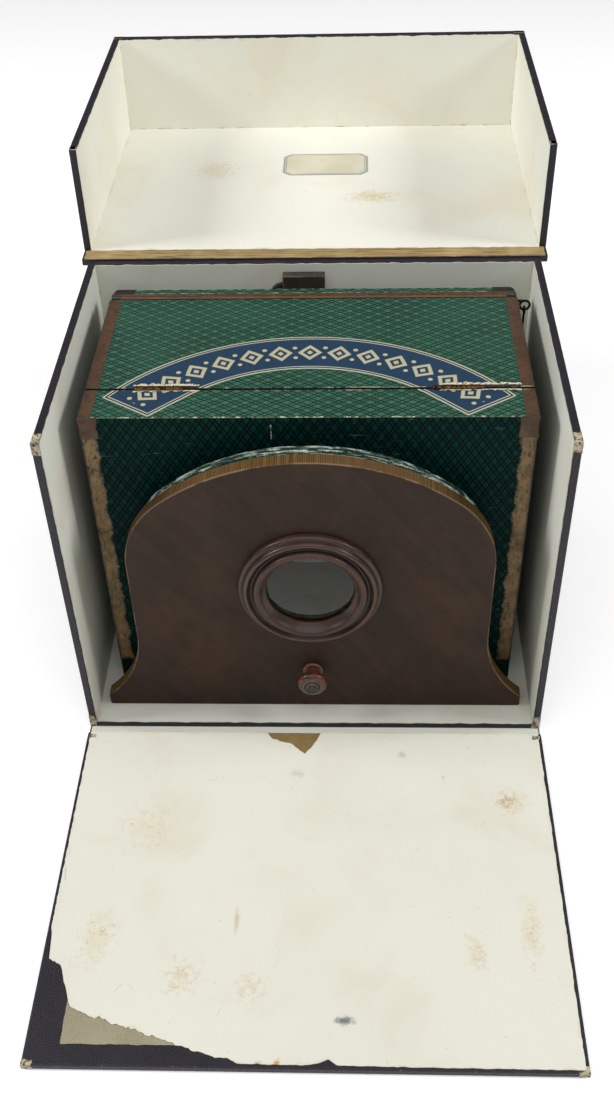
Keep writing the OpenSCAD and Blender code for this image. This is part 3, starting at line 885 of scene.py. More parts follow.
def spot(g: Graph, i: Sockets) -> Sockets:
    """One stain: 1 inside a radius from its centre, with a border that noise frays.

    Args:
        g: the group's graph.
        i: its inputs.

    Returns:
        Its outputs.
    """
    away = g.vector("MULTIPLY", g.vector("SUBTRACT", i["Vector"], i["Centre"]), i["Stretch"])
    length = g.node("VectorMath", {0: away}, operation="LENGTH").outputs["Value"]
    rough = g.times(g.less(g.noise(i["Vector"], 0.28, 6, 0.75), 0.5), g.times(i["Fray"], 2.4))
    return {"Mask": g.band(g.plus(g.over(length, i["Radius"]), rough), 0.0, 1.0, 1, 0)}


def hairlines(g: Graph, i: Sockets) -> Sockets:
    """Thin creases: where one noise passes its middle, kept only in patches of another.

    Args:
        g: the group's graph.
        i: its inputs.

    Returns:
        Its outputs.
    """
    wave = g.away(g.noise(i["Vector"], i["Scale"], 2.5, 0.45, 0.3), 0.5)
    line = g.band(g.over(wave, i["Width"]), 0.3, 1.0, 1, 0)
    kept = g.band(g.plus(g.noise(i["Vector"], 0.055, 3, 0.6), g.times(i["Amount"], 0.3)), 0.62, 0.72)
    return {"Mask": g.times(line, kept)}


def pebbles(g: Graph, i: Sockets) -> Sockets:
    """Embossed leather grain: rounded cells in relief with the furrows between them.

    Args:
        g: the group's graph.
        i: its inputs.

    Returns:
        Its outputs.
    """
    v = i["Vector"]
    drift = g.node("TexNoise", {"Vector": v, "Scale": 0.6, "Detail": 2.0}).outputs["Color"]
    cell = g.cells(g.vector("ADD", v, drift), i["Scale"])
    fold = g.noise(g.stretched(v, (1, 0.35, 1)), 0.8, 4, 0.7, 0.8)
    height = g.plus(g.band(cell, 0.1, 0.75, 1, 0), g.times(fold, 0.8))
    return {"Height": height, "Fleck": g.band(g.noise(v, 1.7, 4, 0.75), 0.62, 0.76)}


def wood_grain(g: Graph, i: Sockets) -> Sockets:
    """Wood: broad figure and fine pores, both drawn out along Z.

    Args:
        g: the group's graph.
        i: its inputs.

    Returns:
        Its outputs.
    """
    v = i["Vector"]
    figure = g.noise(g.stretched(v, (1, 1, 0.18)), i["Scale"], 5, 0.6, 1.2)
    pore = g.noise(g.stretched(v, (1, 1, 0.06)), 2.6, 3, 0.7)
    return {"Figure": figure, "Pore": g.band(pore, 0.56, 0.68)}


ORIGIN = (0, 0, 0)
EFFECTS: dict[Effect, tuple[Callable[[Graph, Sockets], Sockets], Sockets]] = {
    Effect.EDGE_WEAR: (edge_wear, {"Vector": ORIGIN, "Rim": 1.0, "Width": 1.0, "Scale": 0.4, "Amount": 0.0}),
    Effect.LOZENGES: (lozenges, {"Across": 0.0, "Along": 0.0, "Width": 12.1, "Height": 7.8}),
    Effect.OLD_PAPER: (old_paper, {"Vector": ORIGIN, "Age": 0.5}),
    Effect.SPOT: (
        spot, {"Vector": ORIGIN, "Centre": ORIGIN, "Stretch": (1, 1, 0), "Radius": 5.0, "Fray": 1.0},
    ),
    Effect.HAIRLINES: (hairlines, {"Vector": ORIGIN, "Scale": 0.03, "Width": 0.01, "Amount": 0.5}),
    Effect.PEBBLES: (pebbles, {"Vector": ORIGIN, "Scale": 1.1}),
    Effect.WOOD_GRAIN: (wood_grain, {"Vector": ORIGIN, "Scale": 0.1}),
}


# Finishes


@dataclass(frozen=True)
class Finish:
    """A finish: its material's name and the record's slot that it belongs to."""

    name: str
    slot: str

    def build(self) -> bpy.types.Material:
        """Makes the material: what lay gives goes into its shader.

        Returns:
            The material.
        """
        material = bpy.data.materials.new(self.name)
        material.use_nodes = True
        material.node_tree.nodes.clear()
        graph = Graph(material.node_tree)
        shader = graph.node("BsdfPrincipled", self.lay(graph))
        graph.node("OutputMaterial", {"Surface": shader.outputs[0]})
        return material

    def lay(self, g: Graph) -> Sockets:
        """Builds the nodes. Each finish has its own.

        Args:
            g: the material's graph.

        Returns:
            What feeds the shader, by the names of its sockets.
        """
        raise NotImplementedError


@dataclass(frozen=True)
class GrainedPaper(Finish):
    """Black-blue paper with a leather grain, rubbed pale at its edges and corners."""

    base: Colour = srgb(34, 30, 39)
    light: Colour = srgb(70, 65, 73)
    rubbed: Colour = srgb(178, 170, 148)
    wear: float = -0.22

    def lay(self, g: Graph) -> Sockets:
        """Grain in relief, pale flecks, and worn edges.

        Args:
            g: the material's graph.

        Returns:
            What feeds the shader.
        """
        v = g.millimetres()
        grain = g.group(Effect.PEBBLES, Vector=v, Scale=1.1)
        body = g.mix(g.band(g.noise(v, 0.05, 4), 0.35, 0.7), self.base, srgb(29, 26, 34))
        body = g.tint(body, self.light, grain["Fleck"], 0.35)
        return {
            "Base Color": g.mix(g.worn(v, 1.6, 0.5, self.wear), body, self.rubbed),
            "Roughness": g.band(grain["Height"], 0.2, 1.4, 0.62, 0.42),
            "Normal": g.bump(grain["Height"], 0.12),
            "Specular IOR Level": 0.4,
        }


@dataclass(frozen=True)
class Stain:
    """A stain on a lining, placed in the frame in millimetres. One that is frayed by more than 1 is foxed."""

    centre: Triple
    radius: float
    colour: Colour
    strength: float = 0.8
    stretch: Triple = (1, 1, 0)
    fray: float = 1.0


@dataclass(frozen=True)
class LiningPaper(Finish):
    """Aged cream paper with warm clouds, foxing, creases and stains of its own."""

    base: Colour = srgb(219, 218, 205)
    warm: Colour = srgb(210, 200, 176)
    fox: Colour = srgb(168, 132, 84)
    age: float = 0.6
    stains: tuple[Stain, ...] = ()
    creases: float = -0.1

    def lay(self, g: Graph) -> Sockets:
        """Clouds, foxing, dirt along the border, creases and stains over the plain paper.

        Args:
            g: the material's graph.

        Returns:
            What feeds the shader.
        """
        v = g.millimetres()
        paper = g.group(Effect.OLD_PAPER, Vector=v, Age=self.age)
        crease = g.mask(Effect.HAIRLINES, Vector=v, Scale=0.02, Width=0.0025, Amount=self.creases)
        colour = g.mix(g.band(g.noise(v, 0.006, 3), 0.35, 0.65), self.base, darker(self.base, 0.97))
        colour = g.tint(colour, self.warm, paper["Cloud"], 0.6)
        colour = g.tint(colour, srgb(205, 190, 158), g.worn(v, 14.0, 0.06, -0.05), 0.35)
        colour = g.tint(colour, self.fox, paper["Fox"], 0.4)
        colour = g.tint(colour, srgb(150, 132, 100), crease, 0.3)
        foxed = g.band(g.noise(v, 0.7, 5, 0.75), 0.53, 0.64, 0, 0.55)
        for stain in self.stains:
            size = {"Stretch": stain.stretch, "Radius": stain.radius, "Fray": stain.fray}
            mask = g.mask(Effect.SPOT, Vector=v, Centre=stain.centre, **size)
            colour = g.tint(colour, stain.colour, mask, stain.strength)
            if stain.fray > 1:
                colour = g.tint(colour, srgb(158, 124, 76), mask, foxed)
        relief = g.bump(g.less(g.times(paper["Fibre"], 0.5), g.times(crease, 0.8)), 0.06)
        return {"Base Color": colour, "Roughness": 0.82, "Normal": relief, "Specular IOR Level": 0.3}


@dataclass(frozen=True)
class BareBoard(Finish):
    """Bare pasteboard: short fibres and specks, or layers drawn out along X where it is split."""

    base: Colour = srgb(152, 144, 118)
    dark: Colour = srgb(116, 106, 82)
    light: Colour = srgb(170, 162, 134)
    layers: bool = False

    def lay(self, g: Graph) -> Sockets:
        """Fibres over the board's colour.

        Args:
            g: the material's graph.

        Returns:
            What feeds the shader.
        """
        v = g.millimetres()
        fibre = g.noise(g.stretched(v, (0.03, 1.1, 1.1) if self.layers else (0.8, 1, 1)), 0.9, 5, 0.7)
        colour = g.mix(g.band(fibre, 0.42, 0.62, 0, 1 if self.layers else 0.35), self.base, self.dark)
        colour = g.tint(colour, self.light, g.band(g.noise(v, 0.05, 4), 0.45, 0.7), 0.35)
        colour = g.tint(colour, srgb(84, 70, 46), g.band(g.noise(v, 1.5, 4, 0.7), 0.6, 0.7), 0.3)
        return {"Base Color": colour, "Roughness": 0.85, "Normal": g.bump(fibre, 0.25)}


@dataclass(frozen=True)
class PleatPaper(Finish):
    """Glazed green paper of the pleats, creased along the folds, with white streaks near the crests that are
    split glaze and painted glints.
    """

    base: Colour = srgb(26, 78, 62)
    deep: Colour = srgb(4, 36, 28)
    split: Colour = srgb(230, 244, 226)

    def lay(self, g: Graph) -> Sockets:
        """Streaks drawn out along the fold, most of them near the crests: split glaze and painted glints.

        Args:
            g: the material's graph.

        Returns:
            What feeds the shader.
        """
        v = g.millimetres()
        along = g.place(g.times(g.mark("run"), 0.16), g.mark("rim"), g.split(v)[1])
        streak = g.noise(along, 0.8, 6, 0.75, 0.5)
        crumple = g.noise(v, 0.35, 5, 0.7, 0.6)
        colour = g.mix(g.band(crumple, 0.36, 0.64), self.base, self.deep)
        # painted highlight: white streaks gather at the crests, standing for glints of the glaze as well as
        # for split glaze
        near = g.band(g.mark("rim"), 0.2, 3.4, 0.13, -0.04)
        mask = g.band(g.plus(streak, near), 0.61, 0.67)
        return {
            "Base Color": g.tint(colour, self.split, mask, g.band(crumple, 0.3, 0.6, 0.35, 1)),
            "Roughness": g.band(crumple, 0.3, 0.7, 0.22, 0.4),
            "Normal": g.bump(g.plus(streak, g.times(crumple, 0.7)), 0.9),
        }


class Across(Enum):
    """The plane that a printed pattern lies in, as the two axes that carry it."""

    TOP = (0, 1)
    FRONT = (2, 0)
    SIDE = (1, 2)
    BACK = (0, 2)


@dataclass(frozen=True)
class LozengePaper(Finish):
    """Green paper printed with a dark lattice of lozenges, scuffed white at its edges."""

    plane: Across = Across.TOP
    ground: Colour = srgb(51, 97, 78)
    cell: Colour = srgb(58, 102, 84)
    line: Colour = srgb(0, 12, 6)
    scuff: Colour = srgb(196, 198, 172)
    wear: float = -0.1
    cracks: float = -0.15
    wear_width: float = 1.0
    shine: float = 0.25
    pale_streaks: float = 0.0
    seam: bool = False

    def lay(self, g: Graph) -> Sockets:
        """The print, uneven ink, scuffs along the edges, cracks and small white chips.

        Args:
            g: the material's graph.

        Returns:
            What feeds the shader.
        """
        v = g.millimetres()
        axes = g.split(v)
        shake = g.times(g.less(g.noise(v, 0.05, 2), 0.5), 1.6)
        across, along = (axes[k] for k in self.plane.value)
        lattice = g.group(Effect.LOZENGES, Across=g.plus(across, shake), Along=along)
        ink = g.noise(v, 0.35, 4, 0.65)
        body = g.mix(g.band(g.noise(v, 0.03, 3), 0.35, 0.68), self.ground, darker(self.ground, 0.72))
        body = g.mix(lattice["Cell"], body, self.cell)
        body = g.tint(body, self.line, lattice["Line"], g.band(ink, 0.2, 0.5, 0.7, 1.0))
        body = g.mix(g.band(g.noise(v, 1.2, 3), 0.4, 0.75, 0.0, 0.3), body, darker(self.ground, 0.6))
        crack = g.mask(Effect.HAIRLINES, Vector=v, Scale=0.02, Width=0.005, Amount=self.cracks)
        chip = g.times(g.band(g.cells(v, 0.06), 0.02, 0.045, 1, 0), g.band(g.noise(v, 0.03, 2), 0.5, 0.62))
        mask = g.most(g.worn(v, self.wear_width, 0.3, self.wear), g.times(crack, 0.6), g.times(chip, 0.8))
        # pale horizontal streaks in patches on the front paper
        if self.pale_streaks:
            streak = g.band(g.noise(g.stretched(v, (0.05, 1, 0.75)), 1.0, 3, 0.6), 0.63, 0.69)
            mask = g.most(mask, g.times(streak, g.band(g.noise(v, 0.02, 3), 0.44, 0.56, 0, self.pale_streaks)))
        colour = g.mix(mask, body, self.scuff)
        relief = g.plus(g.times(g.noise(v, 1.4, 4, 0.7), 0.5), g.times(mask, -0.6))
        return {
            "Base Color": g.seam(v, colour) if self.seam else colour,
            "Roughness": g.band(ink, 0.3, 0.7, 0.62, 0.44),
            "Normal": g.bump(relief, 0.09),
            "Specular IOR Level": self.shine,
        }


@dataclass(frozen=True)
class BannerPaper(Finish):
    """Blue ribbon of printed paper: two cream lines follow its border, and lozenges and dots fill it."""

    blue: Colour = srgb(12, 52, 80)
    cream: Colour = srgb(182, 180, 158)
    dark: Colour = srgb(16, 36, 48)
    gold: Colour = srgb(178, 172, 142)
    half_pitch: float = 9.0
    row_end: float = 119.0

    def lay(self, g: Graph) -> Sockets:
        """Lines by the distance to the border, ornament by the place along the ribbon.

        Args:
            g: the material's graph.

        Returns:
            What feeds the shader.
        """
        v = g.millimetres()
        rim, run, tall = g.mark("rim"), g.mark("run"), g.math("ABSOLUTE", g.mark("side"))
        ink = g.noise(v, 0.5, 4, 0.7)
        colour = g.mix(g.band(ink, 0.3, 0.7), self.blue, darker(self.blue, 0.78))
        pitch = g.math("PINGPONG", run, self.half_pitch)

        def lozenge(half_run: float, half_tall: float, full: float, none: float) -> Socket:
            """1 inside a lozenge in the middle of each pitch."""
            return g.band(g.plus(g.over(pitch, half_run), g.over(tall, half_tall)), full, none, 1, 0)

        gap, high = g.less(self.half_pitch, pitch), g.less(tall, 5.4)
        dot = g.band(g.math("SQRT", g.plus(g.times(gap, gap), g.times(high, high))), 1.3, 1.6, 1, 0)
        frame = g.less(lozenge(7.6, 8.4, 0.94, 1.03), lozenge(4.4, 5.0, 0.94, 1.06))
        ornament = g.most(frame, lozenge(2.0, 2.4, 0.9, 1.06), dot)
        ornament = g.times(ornament, g.band(g.math("ABSOLUTE", run), self.row_end, self.row_end + 0.6, 1, 0))
        colour = g.tint(colour, self.gold, ornament, g.band(ink, 0.25, 0.4, 0.6, 1))
        colour = g.mix(g.stripe(rim, 1.1, 2.2, 0.12), colour, self.dark)
        lines = g.most(g.stripe(rim, -1, 1.1, 0.12), g.stripe(rim, 2.2, 2.9, 0.12))
        colour = g.mix(lines, colour, self.cream)
        colour = g.mix(g.worn(v, 3.0, 0.22, 0.0, "fold"), colour, srgb(206, 196, 164))
        relief = g.bump(g.noise(v, 1.2, 4, 0.7), 0.05)
        return {"Base Color": g.seam(v, colour), "Roughness": 0.62, "Normal": relief}


@dataclass(frozen=True)
class TapePaper(Finish):
    """Brown binding paper, rubbed and cracked, with its worn borders lighter."""

    base: Colour = srgb(70, 46, 30)
    light: Colour = srgb(86, 61, 41)
    dark: Colour = srgb(36, 24, 15)
    cracked: float = -0.1
    grime: Colour = srgb(16, 15, 12)
    grimy: float = 0.0
    wrinkled: float = 0.5
    drawn: Triple = (1, 1, 1)

    def lay(self, g: Graph) -> Sockets:
        """Blotches, dark cracks, and a pale rubbed border.

        Args:
            g: the material's graph.

        Returns:
            What feeds the shader.
        """
        v = g.millimetres()
        blotch = g.noise(v, 0.09, 5, 0.65, 0.4)
        wrinkle = g.noise(g.stretched(v, self.drawn), 0.5, 5, 0.72, 0.8)
        crack = g.mask(Effect.HAIRLINES, Vector=v, Scale=0.12, Width=0.02, Amount=self.cracked)
        colour = g.mix(g.band(blotch, 0.34, 0.66), self.base, self.light)
        colour = g.tint(colour, self.dark, g.band(wrinkle, 0.5, 0.64), self.wrinkled)
        colour = g.tint(colour, srgb(18, 22, 18), crack, 0.85)
        colour = g.tint(colour, srgb(150, 122, 80), g.worn(v, 0.9, 0.4, -0.12), 0.7)
        grain = g.noise(g.stretched(v, (1.6, 1, 0.7)), 0.75, 6, 0.75, 0.5)
        dirt = g.less(g.plus(grain, self.grimy), g.over(g.mark("rim"), 9.0))
        return {
            "Base Color": g.seam(v, g.mix(g.band(dirt, 0.52, 0.6), colour, self.grime)),
            "Roughness": g.band(blotch, 0.3, 0.7, 0.7, 0.5),
            "Normal": g.bump(g.less(wrinkle, crack), 0.3),
        }


@dataclass(frozen=True)
class TornPaper(Finish):
    """Torn paper fibres, pale where fresh and brown where dirty."""

    pale: Colour = srgb(186, 176, 150)
    dirty: Colour = srgb(78, 60, 42)
    soil: float = 0.48
    reach: float = 0.0

    def lay(self, g: Graph) -> Sockets:
        """Pale and dirty patches with rough relief, or dirt that reaches a distance from the split.

        Args:
            g: the material's graph.

        Returns:
            What feeds the shader.
        """
        v = g.millimetres()
        patchy = g.noise(v, 0.32, 5, 0.7, 0.5)
        if self.reach:
            patchy = g.plus(g.less(self.reach, g.away(g.split(v)[1], SEAM_Y)), g.times(patchy, 0.9))
        colour = g.mix(g.band(patchy, self.soil, self.soil + 0.12), self.pale, self.dirty)
        colour = g.mix(g.band(g.noise(v, 0.45, 4, 0.7), 0.54, 0.62), colour, srgb(62, 52, 38))
        return {"Base Color": colour, "Roughness": 0.85, "Normal": g.bump(g.noise(v, 1.6, 5, 0.7), 0.35)}


@dataclass(frozen=True)
class Mahogany(Finish):
    """Old varnished mahogany: dark face with a faint diagonal figure, paler where its edge is bare."""

    base: Colour = srgb(52, 37, 29)
    deep: Colour = srgb(46, 34, 28)
    edge: Colour = srgb(116, 88, 48)
    edge_dark: Colour = srgb(56, 40, 22)
    arris: Colour = srgb(140, 118, 92)

    def lay(self, g: Graph) -> Sockets:
        """Figure, pores and dents on the face, a rib each millimetre on the edge, an arris paled in places by
        rubbing and by a painted highlight.

        Args:
            g: the material's graph.

        Returns:
            What feeds the shader.
        """
        v = g.millimetres()
        turned = g.turned(v, 38)
        wood = g.group(Effect.WOOD_GRAIN, Vector=turned, Scale=0.06)
        dent = g.times(g.band(g.noise(turned, 0.16, 5, 0.7), 0.64, 0.7), 0.8)
        colour = g.mix(g.band(wood["Figure"], 0.34, 0.66), self.base, self.deep)
        colour = g.mix(g.band(g.noise(v, 0.02, 6, 0.7), 0.42, 0.68, 0, 0.6), colour, srgb(70, 48, 33))
        colour = g.tint(colour, srgb(28, 20, 18), wood["Pore"], 0.35)
        colour = g.mix(dent, colour, srgb(24, 18, 16))
        rib = g.band(g.math("PINGPONG", g.mark("run"), 0.5), 0.12, 0.38)
        lines = g.plus(g.noise(g.place(g.mark("run")), 0.4, 3, 0.8), g.times(rib, 0.2))
        side = g.mix(g.band(lines, 0.46, 0.74), self.edge, self.edge_dark)
        side = g.mix(g.band(g.noise(v, 0.03, 4), 0.42, 0.7, 0, 0.7), side, srgb(96, 70, 48))
        colour = g.mix(g.band(g.mark("side"), 0.4, 0.6), colour, side)
        return {
            # painted highlight and wear: a pale line along the arris
            "Base Color": g.tint(colour, self.arris, g.worn(v, 0.5, 0.05, 0.0), 0.5),
            "Roughness": g.band(wood["Figure"], 0.3, 0.7, 0.5, 0.64),
            "Normal": g.bump(g.plus(g.times(wood["Pore"], -0.4), g.times(dent, -1.2)), 0.09),
            "Specular IOR Level": 0.22,
        }


@dataclass(frozen=True)
class TurnedWood(Finish):
    """Varnished turned wood with fine rings of tool marks, redder, lighter ridges that are rubbed and carry a
    painted highlight, and hollows darkened by dirt and painted shade.
    """

    base: Colour = srgb(56, 38, 30)
    red: Colour = srgb(86, 50, 32)
    dark: Colour = srgb(18, 13, 13)
    crest: Colour = srgb(118, 86, 58)
    redness: float = 0.5
    face_height: float = 100.0
    coat: float = 0.12

    def lay(self, g: Graph) -> Sockets:
        """Rings by radius, blotches of varnish, dirt and painted shade in the hollows, rubbing and a painted
        highlight on the ridges.

        Args:
            g: the material's graph.

        Returns:
            What feeds the shader.
        """
        v = g.millimetres()
        tool = g.noise(g.place(g.mark("rim"), g.mark("side")), 2.2, 3, 0.7)
        blotch, bend = g.noise(v, 0.11, 4, 0.6), g.mark("crest")
        colour = g.mix(g.band(blotch, 0.4, 0.66, 0, self.redness), self.base, self.red)
        face = g.band(g.mark("side"), self.face_height, self.face_height + 0.4)
        colour = g.mix(face, colour, srgb(34, 32, 34))
        colour = g.mix(g.band(tool, 0.42, 0.64, 0, 0.25), colour, self.dark)
        # painted shade: the hollows of the profile are darkened, partly as dirt
        colour = g.mix(g.band(bend, -0.25, -0.02, 0.85, 0.0), colour, self.dark)
        # painted highlight: the ridges of the profile are lightened below, partly as rubbing
        rub = g.band(g.noise(v, 0.2, 4), 0.3, 0.6, 0.25, 0.9)
        return {
            "Base Color": g.tint(colour, self.crest, g.band(bend, 0.22, 0.6), rub),
            "Roughness": g.band(blotch, 0.3, 0.7, 0.34, 0.48),
            "Normal": g.bump(tool, 0.05),
            "Specular IOR Level": 0.4,
            "Coat Weight": self.coat,
            "Coat Roughness": 0.12,
        }


@dataclass(frozen=True)
class PlainWood(Finish):
    """Sawn softwood, stained and dusty."""

    base: Colour = srgb(128, 92, 58)
    dark: Colour = srgb(88, 60, 38)

    def lay(self, g: Graph) -> Sockets:
        """Grain drawn out across the piece.

        Args:
            g: the material's graph.

        Returns:
            What feeds the shader.
        """
        wood = g.group(Effect.WOOD_GRAIN, Vector=g.turned(g.millimetres(), 90), Scale=0.14)
        colour = g.mix(g.band(wood["Figure"], 0.34, 0.66), self.base, self.dark)
        colour = g.tint(colour, srgb(58, 38, 24), wood["Pore"], 0.5)
        return {"Base Color": colour, "Roughness": 0.72, "Normal": g.bump(wood["Pore"], 0.12)}


@dataclass(frozen=True)
class Metal(Finish):
    """Old metal: bright where it is rubbed and dark in its patina."""

    base: Colour = srgb(150, 118, 66)
    patina: Colour = srgb(70, 54, 34)
    shine: float = 0.35

    def lay(self, g: Graph) -> Sockets:
        """Patches of patina with their own roughness.

        Args:
            g: the material's graph.

        Returns:
            What feeds the shader.
        """
        patchy = g.noise(g.millimetres(), 0.6, 5, 0.65)
        return {
            "Base Color": g.mix(g.band(patchy, 0.4, 0.62), self.base, self.patina),
            "Metallic": 1.0,
            "Roughness": g.band(patchy, 0.35, 0.65, self.shine, self.shine + 0.25),
            "Normal": g.bump(patchy, 0.05),
        }


@dataclass(frozen=True)
class Leather(Finish):
    """Black leather with a fine grain."""

    base: Colour = srgb(24, 24, 26)

    def lay(self, g: Graph) -> Sockets:
        """Grain in relief and worn grey spots.

        Args:
            g: the material's graph.

        Returns:
            What feeds the shader.
        """
        grain = g.group(Effect.PEBBLES, Vector=g.millimetres(), Scale=1.8)
        colour = g.tint(self.base, srgb(70, 66, 62), grain["Fleck"], 0.4)
        return {"Base Color": colour, "Roughness": 0.55, "Normal": g.bump(grain["Height"], 0.1)}


@dataclass(frozen=True)
class Mirror(Finish):
    """Old silvering with a few clouded spots."""

    silver: Colour = (0.78, 0.79, 0.77)
    clouded: Colour = (0.4, 0.39, 0.35)

    def lay(self, g: Graph) -> Sockets:
        """Roughness rises in the clouded spots.

        Args:
            g: the material's graph.

        Returns:
            What feeds the shader.
        """
        cloud = g.band(g.noise(g.millimetres(), 0.05, 5, 0.7), 0.52, 0.72)
        colour = g.mix(cloud, self.silver, self.clouded)
        return {"Base Color": colour, "Metallic": 1.0, "Roughness": g.band(cloud, 0, 1, 0.04, 0.4)}


@dataclass(frozen=True)
class LensGlass(Finish):
    """Clear glass with a dark grey-green body, darkened as painted shade for the unlit box behind it."""

    # painted shade: the dark body makes the lens show the box's dark inside
    body: Colour = (0.12, 0.14, 0.135)
    deep: Colour = (0.1, 0.12, 0.115)

    def lay(self, g: Graph) -> Sockets:
        """The body's tone varies a little.

        Args:
            g: the material's graph.

        Returns:
            What feeds the shader.
        """
        dust = g.band(g.noise(g.millimetres(), 0.03, 3, 0.6), 0.4, 0.7)
        colour = g.mix(dust, self.body, self.deep)
        return {"Base Color": colour, "Roughness": 0.02, "Transmission Weight": 1.0, "IOR": 1.6}


@dataclass(frozen=True)
class LabelPaper(Finish):
    """Small aged label with a double printed border and a bare middle."""

    def lay(self, g: Graph) -> Sockets:
        """Border lines by the distance to the edge over aged paper.

        Args:
            g: the material's graph.

        Returns:
            What feeds the shader.
        """
        v, rim = g.millimetres(), g.mark("rim")
        paper = g.group(Effect.OLD_PAPER, Vector=v, Age=0.9)
        colour = g.mix(g.band(g.noise(v, 0.03, 2), 0.36, 0.66), srgb(212, 207, 186), srgb(203, 196, 172))
        colour = g.tint(colour, srgb(178, 132, 96), paper["Fox"], 0.5)
        for low, high, tone in ((-1.0, 1.3, srgb(134, 148, 148)), (1.9, 2.4, srgb(110, 118, 116))):
            colour = g.tint(colour, tone, g.stripe(rim, low, high, 0.15), 0.85)
        return {"Base Color": colour, "Roughness": 0.7, "Normal": g.bump(paper["Fibre"], 0.05)}


@dataclass(frozen=True)
class ViewPrint(Finish):
    """A printed view of the builder's own making: evening sky over two ranges of hills and a lake."""

    def lay(self, g: Graph) -> Sockets:
        """Bands by height, each border shifted by noise along the width.

        Args:
            g: the material's graph.

        Returns:
            What feeds the shader.
        """
        v = g.millimetres()
        x, _, z = g.split(v)
        colour = g.mix(g.band(z, 110, 215), srgb(214, 190, 150), srgb(120, 146, 168))
        cloud = g.noise(g.stretched(v, (0.4, 1, 1.6)), 0.03, 5, 0.6)
        colour = g.mix(g.band(cloud, 0.5, 0.7, 0, 0.7), colour, srgb(222, 214, 196))
        for height, scale, swing, tone in (
            (128.0, 0.018, 60.0, srgb(104, 118, 122)),
            (104.0, 0.03, 46.0, srgb(74, 92, 66)),
            (78.0, 0.012, 6.0, srgb(112, 136, 142)),
            (56.0, 0.05, 26.0, srgb(66, 72, 44)),
        ):
            crest = g.math("MULTIPLY_ADD", g.less(g.noise(g.place(x), scale, 5, 0.55), 0.5), swing, height)
            colour = g.mix(g.band(g.less(crest, z), 0, 1.2), colour, tone)
        colour = g.mix(g.band(g.noise(v, 0.8, 4, 0.7), 0.45, 0.7, 0, 0.3), colour, srgb(60, 54, 40))
        return {"Base Color": g.mix(g.band(z, 221.5, 222.0), colour, srgb(46, 34, 24)), "Roughness": 0.75}


@dataclass(frozen=True)
class Backdrop(Finish):
    """Plain pale studio floor that glows a little, like a sheet lit from behind."""

    tone: float = 0.97
    glow: float = 0.22

    def lay(self, g: Graph) -> Sockets:
        """One even tone."""
        feeds = {"Base Color": (self.tone,) * 3, "Roughness": 0.9, "Specular IOR Level": 0.1}
        return {**feeds, "Emission Color": (1, 1, 1), "Emission Strength": self.glow}


OUTSIDE = GrainedPaper("grained_paper", "case_board")
CLOTH = GrainedPaper("hinge_cloth", "hinge_cloth", wear=-0.3)
CREAM = LiningPaper("case_lining_paper", "cream_lining", srgb(210, 211, 200), srgb(194, 187, 166), age=0.7)
GREEN_TOP = LozengePaper("green_paper_top", "green_paper", seam=True)
# painted shade: the box front's green paper is the top's paper printed far darker, because the front lies in
# the case's shade
SHADED_GREEN_FRONT = LozengePaper(
    "green_paper_front", "green_paper", Across.FRONT, ground=srgb(3, 43, 39), cell=srgb(6, 48, 44),
    line=srgb(0, 7, 6), scuff=srgb(80, 108, 94), cracks=-0.1, shine=0.05, pale_streaks=0.5,
)
GREEN_SIDE = LozengePaper("green_paper_side", "green_paper", Across.SIDE)
GREEN_BACK = LozengePaper("green_paper_back", "green_paper", Across.BACK)
# the rail's front paper: real edge wear on the same darkened colours, which are painted shade
WORN_SHADED_FRONT = replace(
    SHADED_GREEN_FRONT, name="green_paper_front_worn", wear=0.12, wear_width=0.55, scuff=srgb(168, 158, 116),
)
WORN_GREEN = LozengePaper("green_paper_worn", "green_paper", wear=0.02, wear_width=1.4)
BANNER = BannerPaper("banner_paper", "green_paper")
TAPE = TapePaper("binding_tape", "green_paper")
FRONT_TAPE = TapePaper(
    "corner_tape", "green_paper", srgb(101, 79, 48), srgb(130, 104, 64), srgb(34, 26, 17),
    cracked=0.2, grimy=0.16, wrinkled=0.9, drawn=(1.3, 1, 0.3),
)
TORN = TornPaper("torn_paper", "green_paper")
TORN_ON_RAIL = TornPaper(
    "torn_paper_on_rail", "green_paper", srgb(206, 198, 172), srgb(36, 30, 22), reach=1.4,
)
TORN_ON_FLAP = replace(TORN_ON_RAIL, name="torn_paper_on_flap", reach=3.3)
BOARD_FACE = Mahogany("mahogany_board", "mahogany")
RING_WOOD = TurnedWood("turned_ring", "mahogany")
KNOB_WOOD = TurnedWood(
    "turned_knob", "mahogany", base=srgb(62, 32, 19), red=srgb(118, 50, 20), crest=srgb(122, 100, 84),
    redness=1.0, face_height=14.9, coat=0.25,
)
BLOCK_WOOD = Mahogany(
    "pull_block_wood", "mahogany", srgb(36, 40, 40), srgb(30, 33, 34), edge=srgb(60, 60, 56),
    edge_dark=srgb(42, 42, 40), arris=srgb(92, 88, 78),
)
SAWN = PlainWood("sawn_wood", "plain_wood")
VIEW_WOOD = PlainWood("view_stretcher_wood", "plain_wood", srgb(112, 76, 46), srgb(80, 54, 34))
BRASS = Metal("aged_brass", "brass")
OLD_BRASS = Metal("browned_brass", "brass", srgb(112, 84, 52), srgb(46, 34, 24), 0.45)
IRON = Metal("blackened_iron", "iron_wire", srgb(52, 52, 54), srgb(24, 23, 24), 0.42)
BLACK_LEATHER = Leather("black_leather", "black_leather")
SILVERING = Mirror("old_mirror", "silvered_glass")
GLASS = LensGlass("lens_glass", "optical_glass")
GREY_BOARD = BareBoard("grey_board", "bare_board")
GOLD_BOARD = BareBoard(
    "golden_board", "bare_board", srgb(168, 142, 94), srgb(100, 80, 44), srgb(190, 168, 122), layers=True,
)
SPLIT_BOARD = BareBoard("split_board", "bare_board", srgb(132, 108, 62), srgb(78, 60, 30), srgb(158, 140, 96))
PLEAT_PAPER = PleatPaper("pleat_paper", "bellows_cloth")
